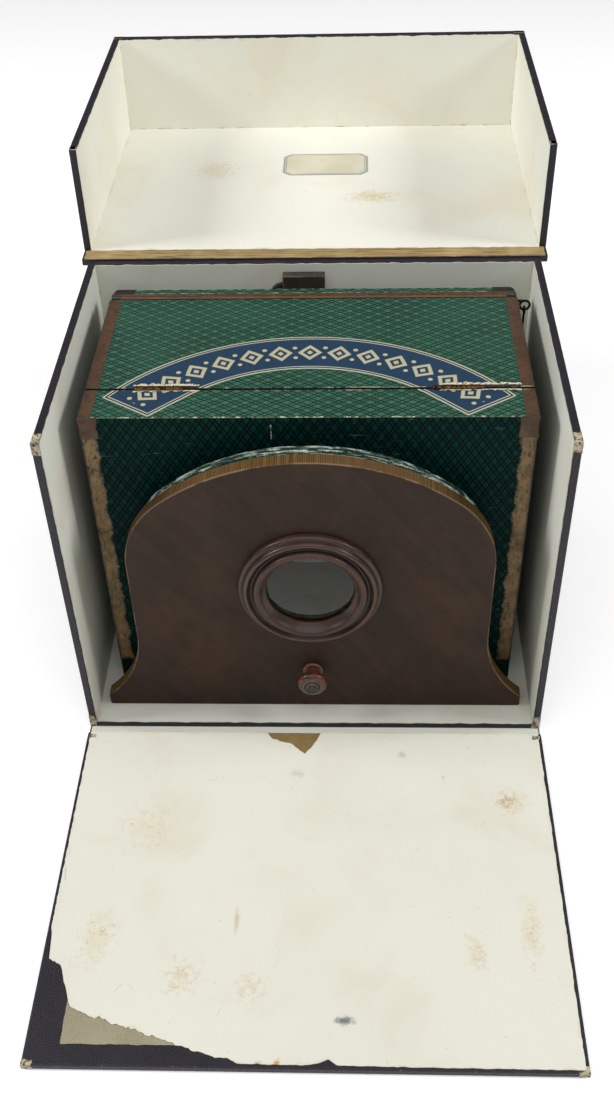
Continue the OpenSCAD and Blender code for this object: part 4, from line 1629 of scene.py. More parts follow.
LABEL = LabelPaper("label_paper", "label_paper")
PRINT = ViewPrint("view_print", "view_paper")
STUDIO_SHEET = Backdrop("studio_floor", "")


# Sub-assemblies

def span(hand: int, a: float, b: float) -> Pair:
    """Two distances from the middle on the left (-1) or the right (1), as places from low to high."""
    return min(hand * a, hand * b), max(hand * a, hand * b)


def wall_linings(
    half: float, near: float, far: float, low: float, high: float, thick: float, seed: int,
    tears: Pair, step: float,
) -> list[Surface]:
    """Lining sheets on the inner faces of a far wall and of the two side walls.

    Args:
        half: half of the width between the side walls.
        near: where the side sheets start.
        far: inner face of the far wall.
        low: lower border.
        high: upper border.
        thick: their thickness.
        seed: first tear.
        tears: depth of the tears of the far sheet and of the side sheets.
        step: size of a face.

    Returns:
        The far, left and right sheet.
    """
    made = [patch(-half, half, low, high, 0, thick, seed, tears[0], step).laid(Facing.LENS, (0, far, 0))]
    for k, x in enumerate((-half, half - thick)):
        side = patch(near, far - thick, low, high, 0, thick, seed + 1 + k, tears[1], step)
        made.append(side.laid(Facing.SIDE, (x, 0, 0)))
    return made


@dataclass
class Assembly:
    """A sub-assembly. Its sizes are its fields, in millimetres."""

    dresser: Dresser

    def build(self) -> None:
        """Makes the pieces. Each sub-assembly has its own."""
        raise NotImplementedError


@dataclass
class Case(Assembly):
    """The pasteboard case, open at its front and top."""

    width: float = 300
    front: float = -101.5
    back: float = 101.5
    height: float = 237.5
    board: float = 4.5
    lining: float = 0.5
    hinge_y: float = -108.6
    tear_width: float = 7.5

    def build(self) -> None:
        """Boards outside, lining sheets inside, cloth at both hinges."""
        add, half, t, deep = self.dresser.add, self.width / 2, self.board, self.back - self.board
        floor = board((-half, self.front, 0), (half, self.back, t), Facing.UP)
        add("case_floor_board", floor, OUTSIDE, "case", "case_floor")
        back = board((-half, deep, t), (half, self.back, self.height), Facing.FRONT)
        add("case_back_board", back, OUTSIDE, "case", "case_back_wall")
        for name, hand in HANDS:
            low, high = span(hand, half, half - t)
            wall = board((low, self.front, t), (high, deep, self.height), Facing.SIDE)
            add(f"case_{name}_board", wall, OUTSIDE, "case", f"case_{name}_wall")
        add("case_lining_sheets", self.linings(), CREAM, "case", "case_lining")
        cover = patch(1 - half, half - 1, self.hinge_y + 1.4, self.front + 0.8, 0.5, 0.3, 5, 0.5)
        add("front_hinge_paper", cover, CREAM, "case")
        self.dresser.dress(CLOTH, "front_hinge_cloth", "lid_hinge_cloth")
        add("case_corner_tears", self.corner_tears(), TORN, "case")

    def linings(self) -> Surface:
        """The four inner sheets, each stopping a little short of the boards' edges.

        Returns:
            The sheets as one surface.
        """
        inner, t, deep = self.width / 2 - self.board, self.lining, self.back - self.board
        floor = patch(-inner, inner, self.front + 0.5, deep, self.board, t, 7, 0.5, 4)
        low, high = self.board + t, self.height - 0.9
        return joined(floor, *wall_linings(inner, self.front + 0.9, deep, low, high, t, 8, (0.5, 0.6), 3))

    def corner_tears(self) -> Surface:
        """Torn paper at the walls' four upper corners and at the foot of both front edges.

        Returns:
            The torn bits as one surface.
        """
        half, t, top, made = self.width / 2, self.board, self.height, []
        for k, (_, hand) in enumerate(HANDS):
            low, high = span(hand, half + 0.08, half - t - 0.1)
            inner = "r" if hand < 0 else "l"
            for seed, z0, z1 in ((30, top - self.tear_width, top + 0.02), (34, 1.0, 12.0)):
                bit = patch(low, high, z0, z1, 0, 0.2, seed + k, 0.9, 0.6, inner + "n")
                made.append(bit.laid(Facing.LENS, (0, self.front - 0.12, 0)))
            y0, y1 = self.front - 0.1, self.front + 9
            made.append(patch(low, high, y0, y1, top - 0.08, 0.14, 40 + k, 0.9, 0.6, inner + "f"))
        return joined(*made)


@dataclass
class DropFront(Assembly):
    """The front that hinges down, with its lining torn off one corner."""

    width: float = 300
    hinge_y: float = -108.6
    gap: float = 0.9
    length: float = 228.3
    inside: float = 0.2
    board: float = 4.5
    lining: float = 0.5
    turn_in_side: float = 19.0
    turn_in_near: float = 12.0
    bared_to: Pair = (-52, 60)
    bared_hinge: Triple = (-34, 9, 21)
    tear_x: tuple[float, ...] = (
        -150, -147, -146, -138, -130.6, -128.7, -111.4, -93.4, -68.9, -50.3,
        -39.8, -35, -3, 7, 13, 18, 60, 150,
    )
    tear_d: tuple[float, ...] = (
        84, 80, 62, 57, 37, 32, 26, 20.5, 12.5, 6.5, 5, 2.4, 2, 2.8, 5.5, 2.2, 1.8, 1.6,
    )
    hinge_x: tuple[float, ...] = (-30, -27, -20, -14, -8, -5, -1, 2, 5)
    hinge_d: tuple[float, ...] = (0, 5, 8, 9, 15, 18, 12, 7, 0)

    @property
    def near(self) -> float:
        """Where the board ends, away from its hinge."""
        return self.hinge_y - self.length + self.inside

    @property
    def far(self) -> float:
        """Where the board starts, at its hinge."""
        return self.hinge_y - self.gap

    def build(self) -> None:
        """The board, the grey board bared at the torn corner, and the lining."""
        add, half, near, far, top = self.dresser.add, self.width / 2, self.near, self.far, self.board
        add("drop_front_panel", board((-half, near, 0), (half, far, top), Facing.UP, 1.2, 0.6), OUTSIDE,
            "drop_front", "drop_front_board")
        x, deep = self.bared_to
        y0 = near + self.turn_in_near
        bare = patch(self.turn_in_side - half, x, y0, near + deep, top - 0.05, 0.1, 50, 0.35, 1.2)
        add("bared_board", bare, GREY_BOARD, "drop_front")
        x0, x1, deep = self.bared_hinge
        low = patch(x0, x1, far - deep, far - 0.5, top - 0.04, 0.1, 52, 0.4, 1.2)
        add("bared_hinge_board", low, SPLIT_BOARD, "drop_front")
        add("drop_front_paper", self.paper(), self.lining_finish(), "drop_front", "drop_front_lining")
        add("drop_front_corner_tears", self.corners(), TORN, "drop_front")

    def paper(self) -> Surface:
        """The lining: its near border follows the tear, frayed most where it is torn deepest.

        Returns:
            The sheet.
        """
        half, near, far = self.width / 2, self.near, self.far
        fray, fine, end = ragged(61, 1.6, 18, 1.2), ragged(62, 0.4), ragged(65, 0.3)

        def torn(x: Array) -> Array:
            """The near border."""
            depth = np.interp(x, self.tear_x, self.tear_d)
            return near + depth + fray(x) * np.clip(depth / 14, 0.08, 1) + fine(x) * 0.5

        def hinge_end(x: Array) -> Array:
            """The far border, torn away in one place."""
            depth = np.interp(x, self.hinge_x, self.hinge_d)
            return far - 0.4 - depth + end(x) + 0.5 * fray(x) * (depth > 0)

        def curl(x: Array, y: Array) -> Array:
            """Height that the torn border lifts off the board."""
            return 0.13 * np.exp((torn(x) - y) / 3.0) * np.clip((-30 - x) / 60, 0, 1)

        sides = (straight(2.0 - half, ragged(63, 0.35)), straight(half - 2.2, ragged(64, 0.35)))
        plain = (2 - half, half - 2.2, near, far)
        return sheet(sides, (torn, hinge_end), plain, self.board, self.lining, 1.2, curl)

    def lining_finish(self) -> LiningPaper:
        """The lining's finish with the stains of this sheet.

        Returns:
            The finish.
        """
        brown, grey, ink = srgb(170, 138, 92), srgb(168, 168, 158), srgb(72, 82, 92)
        even, tall = (1, 1, 0), (1.4, 0.8, 0)
        stains = (
            Stain((21.5, self.near + 27, 0), 5.2, ink, 0.85, (0.7, 1.3, 0), 0.8),
            Stain((-9, -143.5, 0), 5.0, grey, 0.6, (0.8, 1.2, 0), 0.9),
            Stain((58, -128, 0), 4.2, grey, 0.6),
            Stain((125, -165, 0), 14, srgb(210, 190, 148), 0.5, even, 1.2),
            Stain((122, -164, 0), 7, brown, 0.5, even, 1.8),
            Stain((-41, -250, 0), 9, srgb(186, 164, 112), 0.6, (4.2, 0.7, 0), 0.5),
            Stain((-70, -285, 0), 12, srgb(204, 180, 136), 0.4, even, 2.0),
            Stain((-30, -291, 0), 9, srgb(204, 180, 136), 0.35, even, 2.2),
            Stain((-120, -262, 0), 20, srgb(212, 196, 160), 0.4, tall, 1.4),
            Stain((-100, -185, 0), 22, srgb(214, 202, 170), 0.4, even, 1.4),
            Stain((128, -255, 0), 15, srgb(212, 198, 162), 0.45, (1.8, 0.6, 0), 1.6),
            Stain((96, -270, 0), 10, srgb(210, 190, 154), 0.45, (1.4, 0.7, 0), 2.0),
            Stain((-14, -334, 0), 3.0, srgb(196, 140, 60), 0.95, even, 1.2),
            Stain((-24, -335.4, 0), 2.4, srgb(150, 104, 50), 0.9, even, 1.4),
        )
        return LiningPaper("drop_front_lining_paper", "cream_lining", age=0.7, creases=0.1, stains=stains)

    def corners(self) -> Surface:
        """Pale torn paper round the two near corners, and folds at the hinge.

        Returns:
            The torn bits as one surface.
        """
        half, near, far, top, made = self.width / 2, self.near, self.far, self.board, []
        for k, (_, hand) in enumerate(HANDS):
            low, high = span(hand, half - 5.5, half + 0.05)
            inner = "r" if hand < 0 else "l"
            flat = (low, high, near - 0.05, near + 3.2, top - 0.02, 0.14)
            made.append(patch(*flat, 70 + k, 1.3, 0.5, inner + "f"))
            edge = patch(low, high, 0.4, top, 0, 0.12, 74 + k, 0.7, 0.6, inner + "n")
            made.append(edge.laid(Facing.LENS, (0, near - 0.06, 0)))
            low, high = span(hand, half - 6.5, half - 1.5)
            made.append(patch(low, high, far - 5.6, far - 2.6, top + self.lining, 0.3, 78 + k, 1.0, 0.6))
        return joined(*made)


@dataclass
class Lid(Assembly):
    """The deep lid, lying open behind the case with its inner side up."""

    width: float = 309.8
    start: float = 101.9
    end: float = 316.5
    bare_end: float = 113.8
    floor: float = 238.2
    wall: float = 71.0
    board: float = 4.5
    lining: float = 0.5
    wall_lining: float = 0.12
    label_centre: Pair = (6.0, 243.5)
    label_size: tuple[float, float, float, float] = (63.0, 36.0, 5.0, 0.3)

    def build(self) -> None:
        """Panel, three walls, their linings, the bare strip at the hinge and the label."""
        add, half, t, top = self.dresser.add, self.width / 2, self.board, self.floor + self.wall
        deep = self.end - t
        panel = board((-half, self.start, self.floor - t), (half, self.end, self.floor), Facing.UP)
        add("lid_board", panel, OUTSIDE, "lid", "lid_panel")
        lip = board((-half, deep, self.floor), (half, self.end, top), Facing.FRONT, 0.8)
        add("lid_lip_board", lip, OUTSIDE, "lid", "lid_front_lip")
        for name, hand in HANDS:
            low, high = span(hand, half, half - t)
            wall = board((low, self.bare_end, self.floor), (high, deep, top), Facing.SIDE, 0.8)
            add(f"lid_{name}_board", wall, OUTSIDE, "lid", f"lid_{name}_wall")
        y0, y1 = self.start + 0.3, self.bare_end + 1.5
        strip = patch(1.5 - half, half - 1.5, y0, y1, self.floor - 0.02, 0.25, 82, 0.5, 1.4)
        add("lid_bare_strip", strip, GOLD_BOARD, "lid")
        stains = (
            Stain((40, 190, 0), 14, srgb(206, 188, 140), 0.65, (0.6, 1.2, 0), 1.4),
            Stain((-75, 235, 0), 22, srgb(216, 202, 172), 0.5, (1, 1, 0), 1.4),
        )
        # painted light: the lid's lining is the same cream paper as the others, made paler because the open
        # lid lies in more light
        finish = replace(
            CREAM, name="lid_lining_paper", base=srgb(232, 231, 219), warm=srgb(222, 212, 188), stains=stains,
        )
        add("lid_lining_sheets", self.linings(), finish, "lid", "lid_lining")
        add("lid_paper_label", self.label(), LABEL, "lid", "lid_label")
        add("lid_corner_tears", self.corner_tears(), TORN, "lid")

    def linings(self) -> Surface:
        """Four sheets: on the panel, the lip and both side walls.

        Returns:
            The sheets as one surface.
        """
        half, deep, low = self.width / 2 - self.board, self.end - self.board, self.floor + self.lining
        floor = patch(-half, half, self.bare_end, deep, self.floor, self.lining, 84, 0.6, 3, "n")
        high, near = self.floor + self.wall - 1.0, self.bare_end + 0.8
        return joined(floor, *wall_linings(half, near, deep, low, high, self.wall_lining, 85, (0.5, 0.5), 2))

    def label(self) -> Surface:
        """An eight-sided label with cut corners.

        Returns:
            The label.
        """
        (x, y), (wide, deep, cut, thick) = self.label_centre, self.label_size
        a, b = wide / 2, deep / 2
        half = np.array([(cut - a, -b), (a - cut, -b), (a, cut - b), (a, b - cut)])
        low = self.floor + self.lining
        return plate(np.vstack([half, -half]) + (x, y), low, low + thick, 0.1, caps=40)

    def corner_tears(self) -> Surface:
        """Pale rubbed paper on the lid's four upper corners.

        Returns:
            The torn bits as one surface.
        """
        half, top, made = self.width / 2, self.floor + self.wall, []
        back, front = (self.end - 4.4, self.end), (self.bare_end, self.bare_end + 5)
        for k, (_, hand) in enumerate(HANDS):
            inner = "r" if hand < 0 else "l"
            for seed, wide, (y0, y1), open_ in ((90, 8, back, ""), (92, 4.4, front, "f")):
                low, high = span(hand, half - wide, half)
                made.append(patch(low, high, y0, y1, top - 0.1, 0.1, seed + k, 0.9, 0.7, inner + open_))
        return joined(*made)


@dataclass(frozen=True)
class FrontOutline:
    """The front board's outline: a basket-handle arch on two feet whose sides are concave arcs.

    Two shoulder arcs meet the straight sides and the wide crown arc smoothly. Its crown radius R comes
    from (waist / 2 - r)^2 + (R - rise)^2 = (R - r)^2, with r the shoulder's radius.
    """

    waist: float = 225.6
    spring: float = 126.8
    shoulder: float = 62.0
    crown: float = 206.1
    foot: float = 276.0
    cove: float = 65.0
    toe: float = 9.0
    chamfer: float = 1.2

    def arch(self, inset: float, base: float) -> Array:
        """The arch alone, counter-clockwise from its lower left corner.

        Args:
            inset: how far inside the board's own outline it lies.
            base: height of its foot.

        Returns:
            The outline.
        """
        side, rise = self.waist / 2 - self.shoulder, self.crown - self.spring
        big = (side**2 + rise**2 - self.shoulder**2) / (2 * (rise - self.shoulder))
        middle = self.crown - big
        lean = math.atan2(side, self.spring - middle)
        right = np.linspace(0, np.pi / 2 - lean, 30)
        top = np.linspace(np.pi / 2 - lean, np.pi / 2 + lean, 60)[1:-1]
        left = np.linspace(np.pi / 2 + lean, np.pi, 30)
        half, small = self.waist / 2 - inset, self.shoulder - inset
        return np.vstack([
            [(-half, base), (half, base)],
            circle((side, self.spring), small, right),
            circle((0, middle), big - inset, top),
            circle((-side, self.spring), small, left),
        ])

    def whole(self) -> Array:
        """The arch on its flared feet, counter-clockwise.

        Returns:
            The outline.
        """
        flare, drop, half = (self.foot - self.waist) / 2, self.cove - self.toe, self.waist / 2
        radius = (flare**2 + drop**2) / (2 * flare)
        angle = np.linspace(np.pi + math.asin(drop / radius), np.pi, 24)
        side = circle((half + radius, self.cove), radius, angle)
        toes = np.array([(self.foot / 2 - self.chamfer, 0), (self.foot / 2, self.chamfer)])
        flip = (-1, 1)
        right, left = [toes, side], [side[::-1] * flip, toes[1:] * flip]
        return np.vstack([toes[:1] * flip, *right, self.arch(0, self.cove)[2:], *left])


OUTLINE = FrontOutline()


@dataclass
class Viewer(Assembly):
    """The wooden box with its papers and tapes."""

    width: float = 265.0
    front: float = -61.2
    foot: float = 5.2
    top: float = 225.8
    wall: float = 6.0
    lid_t: float = 5.0
    rail: float = 28.0
    flap_start: float = 28.8
    flap_end: float = 131.4
    slot: float = 131.8
    frame_start: float = 135.6
    frame_end: float = 138.6
    door_start: float = 138.9
    door_end: float = 144.4
    door_foot: float = 20.1
    bottom: float = 14.0
    tongue_gap: float = 100.3
    opening_inset: float = 16.4
    opening_base: float = 24.4
    window_side: float = 16.5
    window_low: float = 33.0
    window_high: float = 12.0
    sill: float = 14.6
    paper: float = 0.06
    tape: float = 0.14
    top_tape: float = 7.6
    front_tape: float = 9.4
    front_tape_foot: float = 24.0
    cap_width: float = 10.5
    cap_drop: float = 15.0
    crack: Triple = (-21.6, -20.8, 15.5)
    block: Triple = (-20.0, 8.0, 7.0)
    pull_radius: float = 8.0
    hinges: tuple[Pair, ...] = ((-104.0, -65.0), (77.0, 125.0))
    banner_tip: Pair = (92.0, 0.8)
    banner_corners: tuple[Pair, ...] = ((121.0, 20.0), (71.0, 21.0))
    banner_apexes: Pair = (85.0, 49.5)
    banner_centre: float = -56.6

    def y(self, depth: float) -> float:
        """Frame coordinate of a depth behind the box's front face."""
        return self.front + depth

    @property
    def half(self) -> float:
        """Half of the box's width."""
        return self.width / 2

    @property
    def shelf(self) -> float:
        """Top of the walls, on which rail and flap lie."""
        return self.top - self.lid_t - 0.2

    def build(self) -> None:
        """Boards, papers, tapes and torn bits."""
        self.build_walls()
        self.build_top()
        self.build_rear()
        self.build_door()
        self.build_pull()
        self.build_tapes()
        dress = self.dresser.dress
        dress(SAWN, "box_bottom", "view_guides", "tongue_runners")
        dress(OLD_BRASS, "flap_hinge_fixed_leaves", "flap_hinge_moving_leaves")
        dress(BRASS, "door_hinge_fixed_leaves", "door_hinge_moving_leaves")
        dress(IRON, "flap_hinge_pins", "door_hinge_pins", "hook_screw_eye", "stay_hook", "door_catch_pin")
        dress(SILVERING, "flap_mirror")
        dress(VIEW_WOOD, "view_frame")
        dress(PRINT, "view_sheet")

    def build_walls(self) -> None:
        """The front panel with its arched opening, and both sides with their slot for the view."""
        add, half, low, shelf, notch = self.dresser.add, self.half, self.foot, self.shelf, self.tongue_gap
        outline = np.array([
            (-half, low), (-notch, low), (-notch, self.bottom), (notch, self.bottom), (notch, low),
            (half, low), (half, shelf), (-half, shelf),
        ])
        opening = OUTLINE.arch(self.opening_inset, self.opening_base) + (0, low)
        panel = plate(outline, self.y(0), self.y(self.wall), 0.4, opening, (0, low + 100), 24)
        add("front_panel", panel.laid(Facing.FRONT), SHADED_GREEN_FRONT, "viewer", "box_front_panel")
        y0, slot, end = self.y(self.wall), self.y(self.slot), self.y(self.frame_start)
        step = [(end, self.top), (slot, self.top), (slot, shelf)]
        side = np.array([(y0, low), (end, low), *step, (y0, shelf)])
        for name, hand in HANDS:
            wall = plate(side, *span(hand, half, half - self.wall), 0.3).laid(Facing.SIDE)
            add(f"{name}_side_board", wall, GREEN_SIDE, "viewer", f"box_{name}_side")

    def build_top(self) -> None:
        """The rail with its front paper, a crack below it, the flap, and the banner, cut at the split."""
        add, half, shelf, high = self.dresser.add, self.half, self.shelf, self.top + self.paper
        rail = board((-half, self.y(0), shelf), (half, self.y(self.rail - 0.2), high), Facing.UP)
        add("top_rail", rail, GREEN_TOP, "viewer", "box_top_rail")
        x0, x1, drop = self.crack
        crack = patch(x0, x1, self.top - drop, shelf - 0.2, 0, 0.08, 99, 0.35, 0.5)
        add("front_paper_crack", crack.laid(Facing.LENS, (0, self.y(-0.02), 0)), TORN, "viewer")
        edge = self.top - 0.25
        face = patch(0.2 - half, half - 0.2, shelf - 0.3, edge, 0, 0.08, 98, 0.15)
        face.marks["rim"] = edge - face.points[:, 1]
        add("rail_front_paper", face.laid(Facing.LENS, (0, self.y(-0.06), 0)), WORN_SHADED_FRONT, "viewer")
        low = (-half, self.y(self.flap_start + 0.3), self.top - self.lid_t)
        flap = board(low, (half, self.y(self.flap_end), high), Facing.UP)
        add("flap_board", flap, GREEN_TOP, "top_flap", "top_flap_board")
        add("banner_on_rail", self.banner_part(0.3, self.rail - 0.3), BANNER, "viewer")
        add("banner_on_flap", self.banner_part(self.flap_start + 0.3, 90.0), BANNER, "top_flap")

    def build_rear(self) -> None:
        """The frame round the rear window, its tape and the sill."""
        add, half, low, start, end = self.dresser.add, self.half, self.foot, self.frame_start, self.frame_end
        side = half - self.window_side
        window = rectangle(-side, side, low + self.window_low, self.top - self.window_high)
        frame = plate(rectangle(-half, half, low, self.top), self.y(start), self.y(end), 0.2, window, caps=14)
        add("rear_frame_board", frame.laid(Facing.FRONT), GREEN_BACK, "viewer", "rear_frame")
        high = (half, self.y(self.door_end), low + self.sill)
        sill = board((-half, self.y(end), low), high, Facing.FRONT, 0.45, 0.3)
        add("rear_sill_board", sill, GREEN_BACK, "viewer", "rear_sill")
        y0, y1 = self.y(start) - 0.1, self.y(end) + 0.1
        tape = patch(0.3 - half, half - 0.3, y0, y1, self.top, 0.16, 120, 0.15, 1.2)
        add("rear_frame_tape", tape, TAPE, "viewer")

    def build_door(self) -> None:
        """The rear door and its wrapped corners."""
        add, half, top = self.dresser.add, self.half, self.top
        y0, y1 = self.y(self.door_start), self.y(self.door_end)
        outline = rectangle(-half, half, self.door_foot, top, 4.0)
        outline = np.vstack([outline[:14], [(-half, self.door_foot), (half, self.door_foot)]])
        door = plate(outline, y0, y1, 0.4, caps=20)
        add("door_board", door.laid(Facing.FRONT), GREEN_BACK, "rear_door", "rear_door_board")
        strip = patch(4.2 - half, half - 4.2, y0 + 0.2, y1 - 0.2, top - 0.02, 0.08, 96, 0.2, 0.9)
        add("door_top_paper", strip, WORN_GREEN, "rear_door")
        wide, deep, stand = 15, 9, 0.15
        corner = rectangle(half - wide, half + stand, top - deep, top + stand, 4.1)[:7]
        ends = [(half - wide, top + stand), (half - wide + 0.8, top - deep), (half + stand, top - deep - 1)]
        shape = np.vstack([corner, ends])
        wraps = [
            plate(outline, y0 - 0.12, y1 + 0.12, 0.1, caps=6).laid(Facing.FRONT)
            for outline in ((shape * (-1, 1))[::-1], shape)
        ]
        add("door_corner_wraps", joined(*wraps), BLACK_LEATHER, "rear_door")

    def build_pull(self) -> None:
        """The door's pull block and its leather pull, a half circle with a straight end at the block."""
        add, top, back, r = self.dresser.add, self.top, self.y(self.door_end), self.pull_radius
        x0, x1, thick = self.block
        block = board((x0, back, top - 17), (x1, back + thick, top + 9), Facing.FRONT, 0.8, 0.7)
        add("pull_block", block, BLOCK_WOOD, "rear_door", "door_pull_block")
        round_end = circle((0, 0), r, np.linspace(np.pi / 2, 3 * np.pi / 2, 25))
        pull = np.vstack([[(0, -r), (0, r)], round_end[1:-1]]) + (x0 - 0.1, top - 4)
        leather = plate(pull, back, back + 2.4, 0.7, centre=(x0 - 2, top - 4), caps=8)
        add("leather_pull", leather.laid(Facing.FRONT), BLACK_LEATHER, "rear_door", "door_leather_pull")

    def build_tapes(self) -> None:
        """Binding paper on the box's edges."""
        add = self.dresser.add
        rail = self.side_tapes(0.0, self.rail, self.top - 8.0, 100)
        add("rail_side_tapes", rail, TAPE, "viewer")
        flap = self.side_tapes(self.flap_start, self.flap_end, self.top - self.lid_t + 0.3, 110)
        add("flap_side_tapes", flap, TAPE, "top_flap")
        add("front_corner_tapes", self.front_tapes(), FRONT_TAPE, "viewer")
        add("front_corner_caps", self.front_caps(), TAPE, "viewer")
        add("hinge_paper_on_rail", self.hinge_paper(False), TORN_ON_RAIL, "viewer")
        add("hinge_paper_on_flap", self.hinge_paper(True), TORN_ON_FLAP, "top_flap")

    def side_tapes(self, start: float, end: float, low: float, seed: int) -> Surface:
        """Tape folded over both upper side edges.

        Args:
            start: first depth.
            end: last depth.
            low: lower border on the sides.
            seed: first tear.

        Returns:
            The tapes as one surface.
        """
        high, y0, y1, made = self.top + self.paper, self.y(start), self.y(end), []
        for k, (_, hand) in enumerate(HANDS):
            x0, x1 = span(hand, self.half + 0.12, self.half - self.top_tape)
            wear = (straight(x0, ragged(seed + k, 0.25)), straight(x1, ragged(seed + 3 + k, 0.45)))
            ends = (straight(y0 + 0.1), straight(y1 - 0.2))
            made.append(sheet(wear, ends, (x0, x1, y0, y1), high, self.tape, 1.2))
            drop = patch(y0 + 0.1, y1 - 0.2, low, high + 0.1, 0, self.tape, seed + 6 + k, 0.2, 1.4)
            made.append(self.beside(drop, hand))
        return joined(*made)

    def beside(self, strip: Surface, hand: int) -> Surface:
        """A strip of tape laid on the outside of a side wall."""
        return strip.laid(Facing.SIDE, (self.half if hand > 0 else -self.half - self.tape, 0, 0))

    def front_tapes(self) -> Surface:
        """Upright strips round the box's two front edges, torn along their inner border.

        Returns:
            The strips as one surface.
        """
        made, foot, high = [], self.front_tape_foot, self.top - 5.6
        for k, (_, hand) in enumerate(HANDS):
            low_x, high_x = span(hand, self.half - self.front_tape, self.half + 0.14)
            rough = ragged(130 + k, 1.5, 30, 1.2)
            tears = (None, rough) if hand < 0 else (rough, None)
            wear = (straight(low_x, tears[0]), straight(high_x, tears[1]))
            ends = (straight(foot, ragged(133 + k, 1.5)), straight(high))
            front = sheet(wear, ends, (low_x, high_x, foot, high), 0, 0.16, 0.9)
            made.append(front.laid(Facing.LENS, (0, self.front, 0)))
            side = patch(self.y(0) - 0.1, self.y(12), foot, self.top - 8, 0, self.tape, 136 + k, 0.8, 1.6)
            made.append(self.beside(side, hand))
        return joined(*made)

    def front_caps(self) -> Surface:
        """Short strips that fold from the top over the upper front corners.

        Returns:
            The strips as one surface.
        """
        made = []
        for k, (_, hand) in enumerate(HANDS):
            low, high = span(hand, self.half - self.cap_width, self.half + 0.2)
            cap = patch(low, high, self.top - self.cap_drop, self.top + 0.1, 0, 0.2, 140 + k, 0.7, 0.9)
            made.append(cap.laid(Facing.LENS, (0, self.front - 0.16, 0)))
        return joined(*made)

    def hinge_paper(self, behind: bool) -> Surface:
        """Paper torn off the hinges. Each piece curls up towards the barrel.

        Args:
            behind: True for the pieces behind the split, on the flap, and False for those on the rail.

        Returns:
            The pieces as one surface.
        """
        edge, depth = (self.flap_start + 0.7, 3.7) if behind else (self.rail - 0.7, -1.5)
        near_tear, far_tear = (0.25, 1.1) if behind else (0.9, 0.25)
        near, far = (self.y(d) for d in sorted((edge, edge + depth)))
        made = []
        for k, (x0, x1) in enumerate(self.hinges):
            seed = 150 + 10 * k + 5 * behind
            crumple = ragged(seed + 2, 0.4, 8, 1.0)

            def curl(x: Array, y: Array, x0: float = x0, x1: float = x1, crumple: Curve = crumple) -> Array:
                """Height above the top."""
                rise = 0.35 * np.exp(-np.abs(y - self.y(edge + depth)) / 0.8)
                return (rise + 0.1) * (1 + 1.4 * crumple(x)) * np.clip(np.minimum(x - x0, x1 - x) / 4, 0.1, 1)

            sides = (straight(x0, ragged(seed + 3, 0.8, 4, 0.6)), straight(x1, ragged(seed + 4, 0.8, 4, 0.6)))
            borders = (
                straight(near, ragged(seed, near_tear, 10, 1.0)),
                straight(far, ragged(seed + 1, far_tear, 10, 1.0)),
            )
            made.append(sheet(sides, borders, (x0, x1, near, far), self.top + self.paper, 0.16, 0.4, curl))
        return joined(*made)

    def banner_outline(self) -> list[Array]:
        """Outer and inner border of the banner from one tip to the other.

        Each is a chevron side, an arc through its apex and both corners, and the other chevron side.

        Returns:
            Two curves of (x, depth) with the same number of points.
        """
        tip = np.array(self.banner_tip)
        curves = []
        for (x, y), apex in zip(self.banner_corners, self.banner_apexes):
            rise = apex - y
            radius = (x**2 + rise**2) / (2 * rise)
            lean = math.asin(x / radius)
            bow = circle((0, apex - radius), radius, np.pi / 2 - np.linspace(-lean, lean, 300))
            leg = np.linspace(0.01, 1, 40)[:-1, None]
            left, right = tip * (-1, 1), tip
            legs = left + leg * (bow[0] - left), right + leg[::-1] * (bow[-1] - right)
            curves.append(np.vstack([legs[0], bow, legs[1]]))
        return curves

    def banner_part(self, low: float, high: float) -> Surface:
        """The part of the banner between two depths, as thin paper.

        Points run from the outer to the inner border along straight lines. Faces beyond the part are
        dropped, and points just beyond it are drawn back to its border.

        Args:
            low: first depth.
            high: last depth.

        Returns:
            The paper, with marks rim, run, side (distance from its middle line) and fold.
        """
        outer, inner = self.banner_outline()
        t = np.linspace(0, 1, 46)[:, None, None]
        flat = outer[None] + t * (inner - outer)[None]
        kept = (flat[..., 1] >= low) & (flat[..., 1] <= high)
        any_kept = kept[:-1, :-1] | kept[:-1, 1:] | kept[1:, :-1] | kept[1:, 1:]
        flat[..., 1] = np.clip(flat[..., 1], low, high)
        points = flat.reshape(-1, 2)
        border = np.vstack([outer, inner[::-1]])[::2]
        parts = np.array_split(points, 12)
        rim = np.concatenate([np.sqrt(((p[:, None] - border[None]) ** 2).sum(-1)).min(1) for p in parts])
        away = points - (0.0, self.banner_centre)
        middle = sum(self.banner_apexes) / 2 - self.banner_centre
        run = np.arctan2(away[:, 0], away[:, 1]) * middle
        fold = np.minimum(np.abs(points[:, 1] - low), np.abs(points[:, 1] - high))
        fold = np.where((points[:, 1] < 10) | (points[:, 1] > 60), 9.0, fold)
        marks = {"rim": rim, "run": run, "side": np.linalg.norm(away, axis=1) - middle, "fold": fold}
        index = np.arange(len(points)).reshape(flat.shape[:2])
        quads = np.stack([index[:-1, :-1], index[1:, :-1], index[1:, 1:], index[:-1, 1:]], -1)[any_kept]
        height = np.full(len(points), self.top + self.paper + 0.1)
        top = np.column_stack([points[:, 0], points[:, 1] + self.front, height])
        return closed_pair(top, top - (0, 0, self.tape), quads, marks)


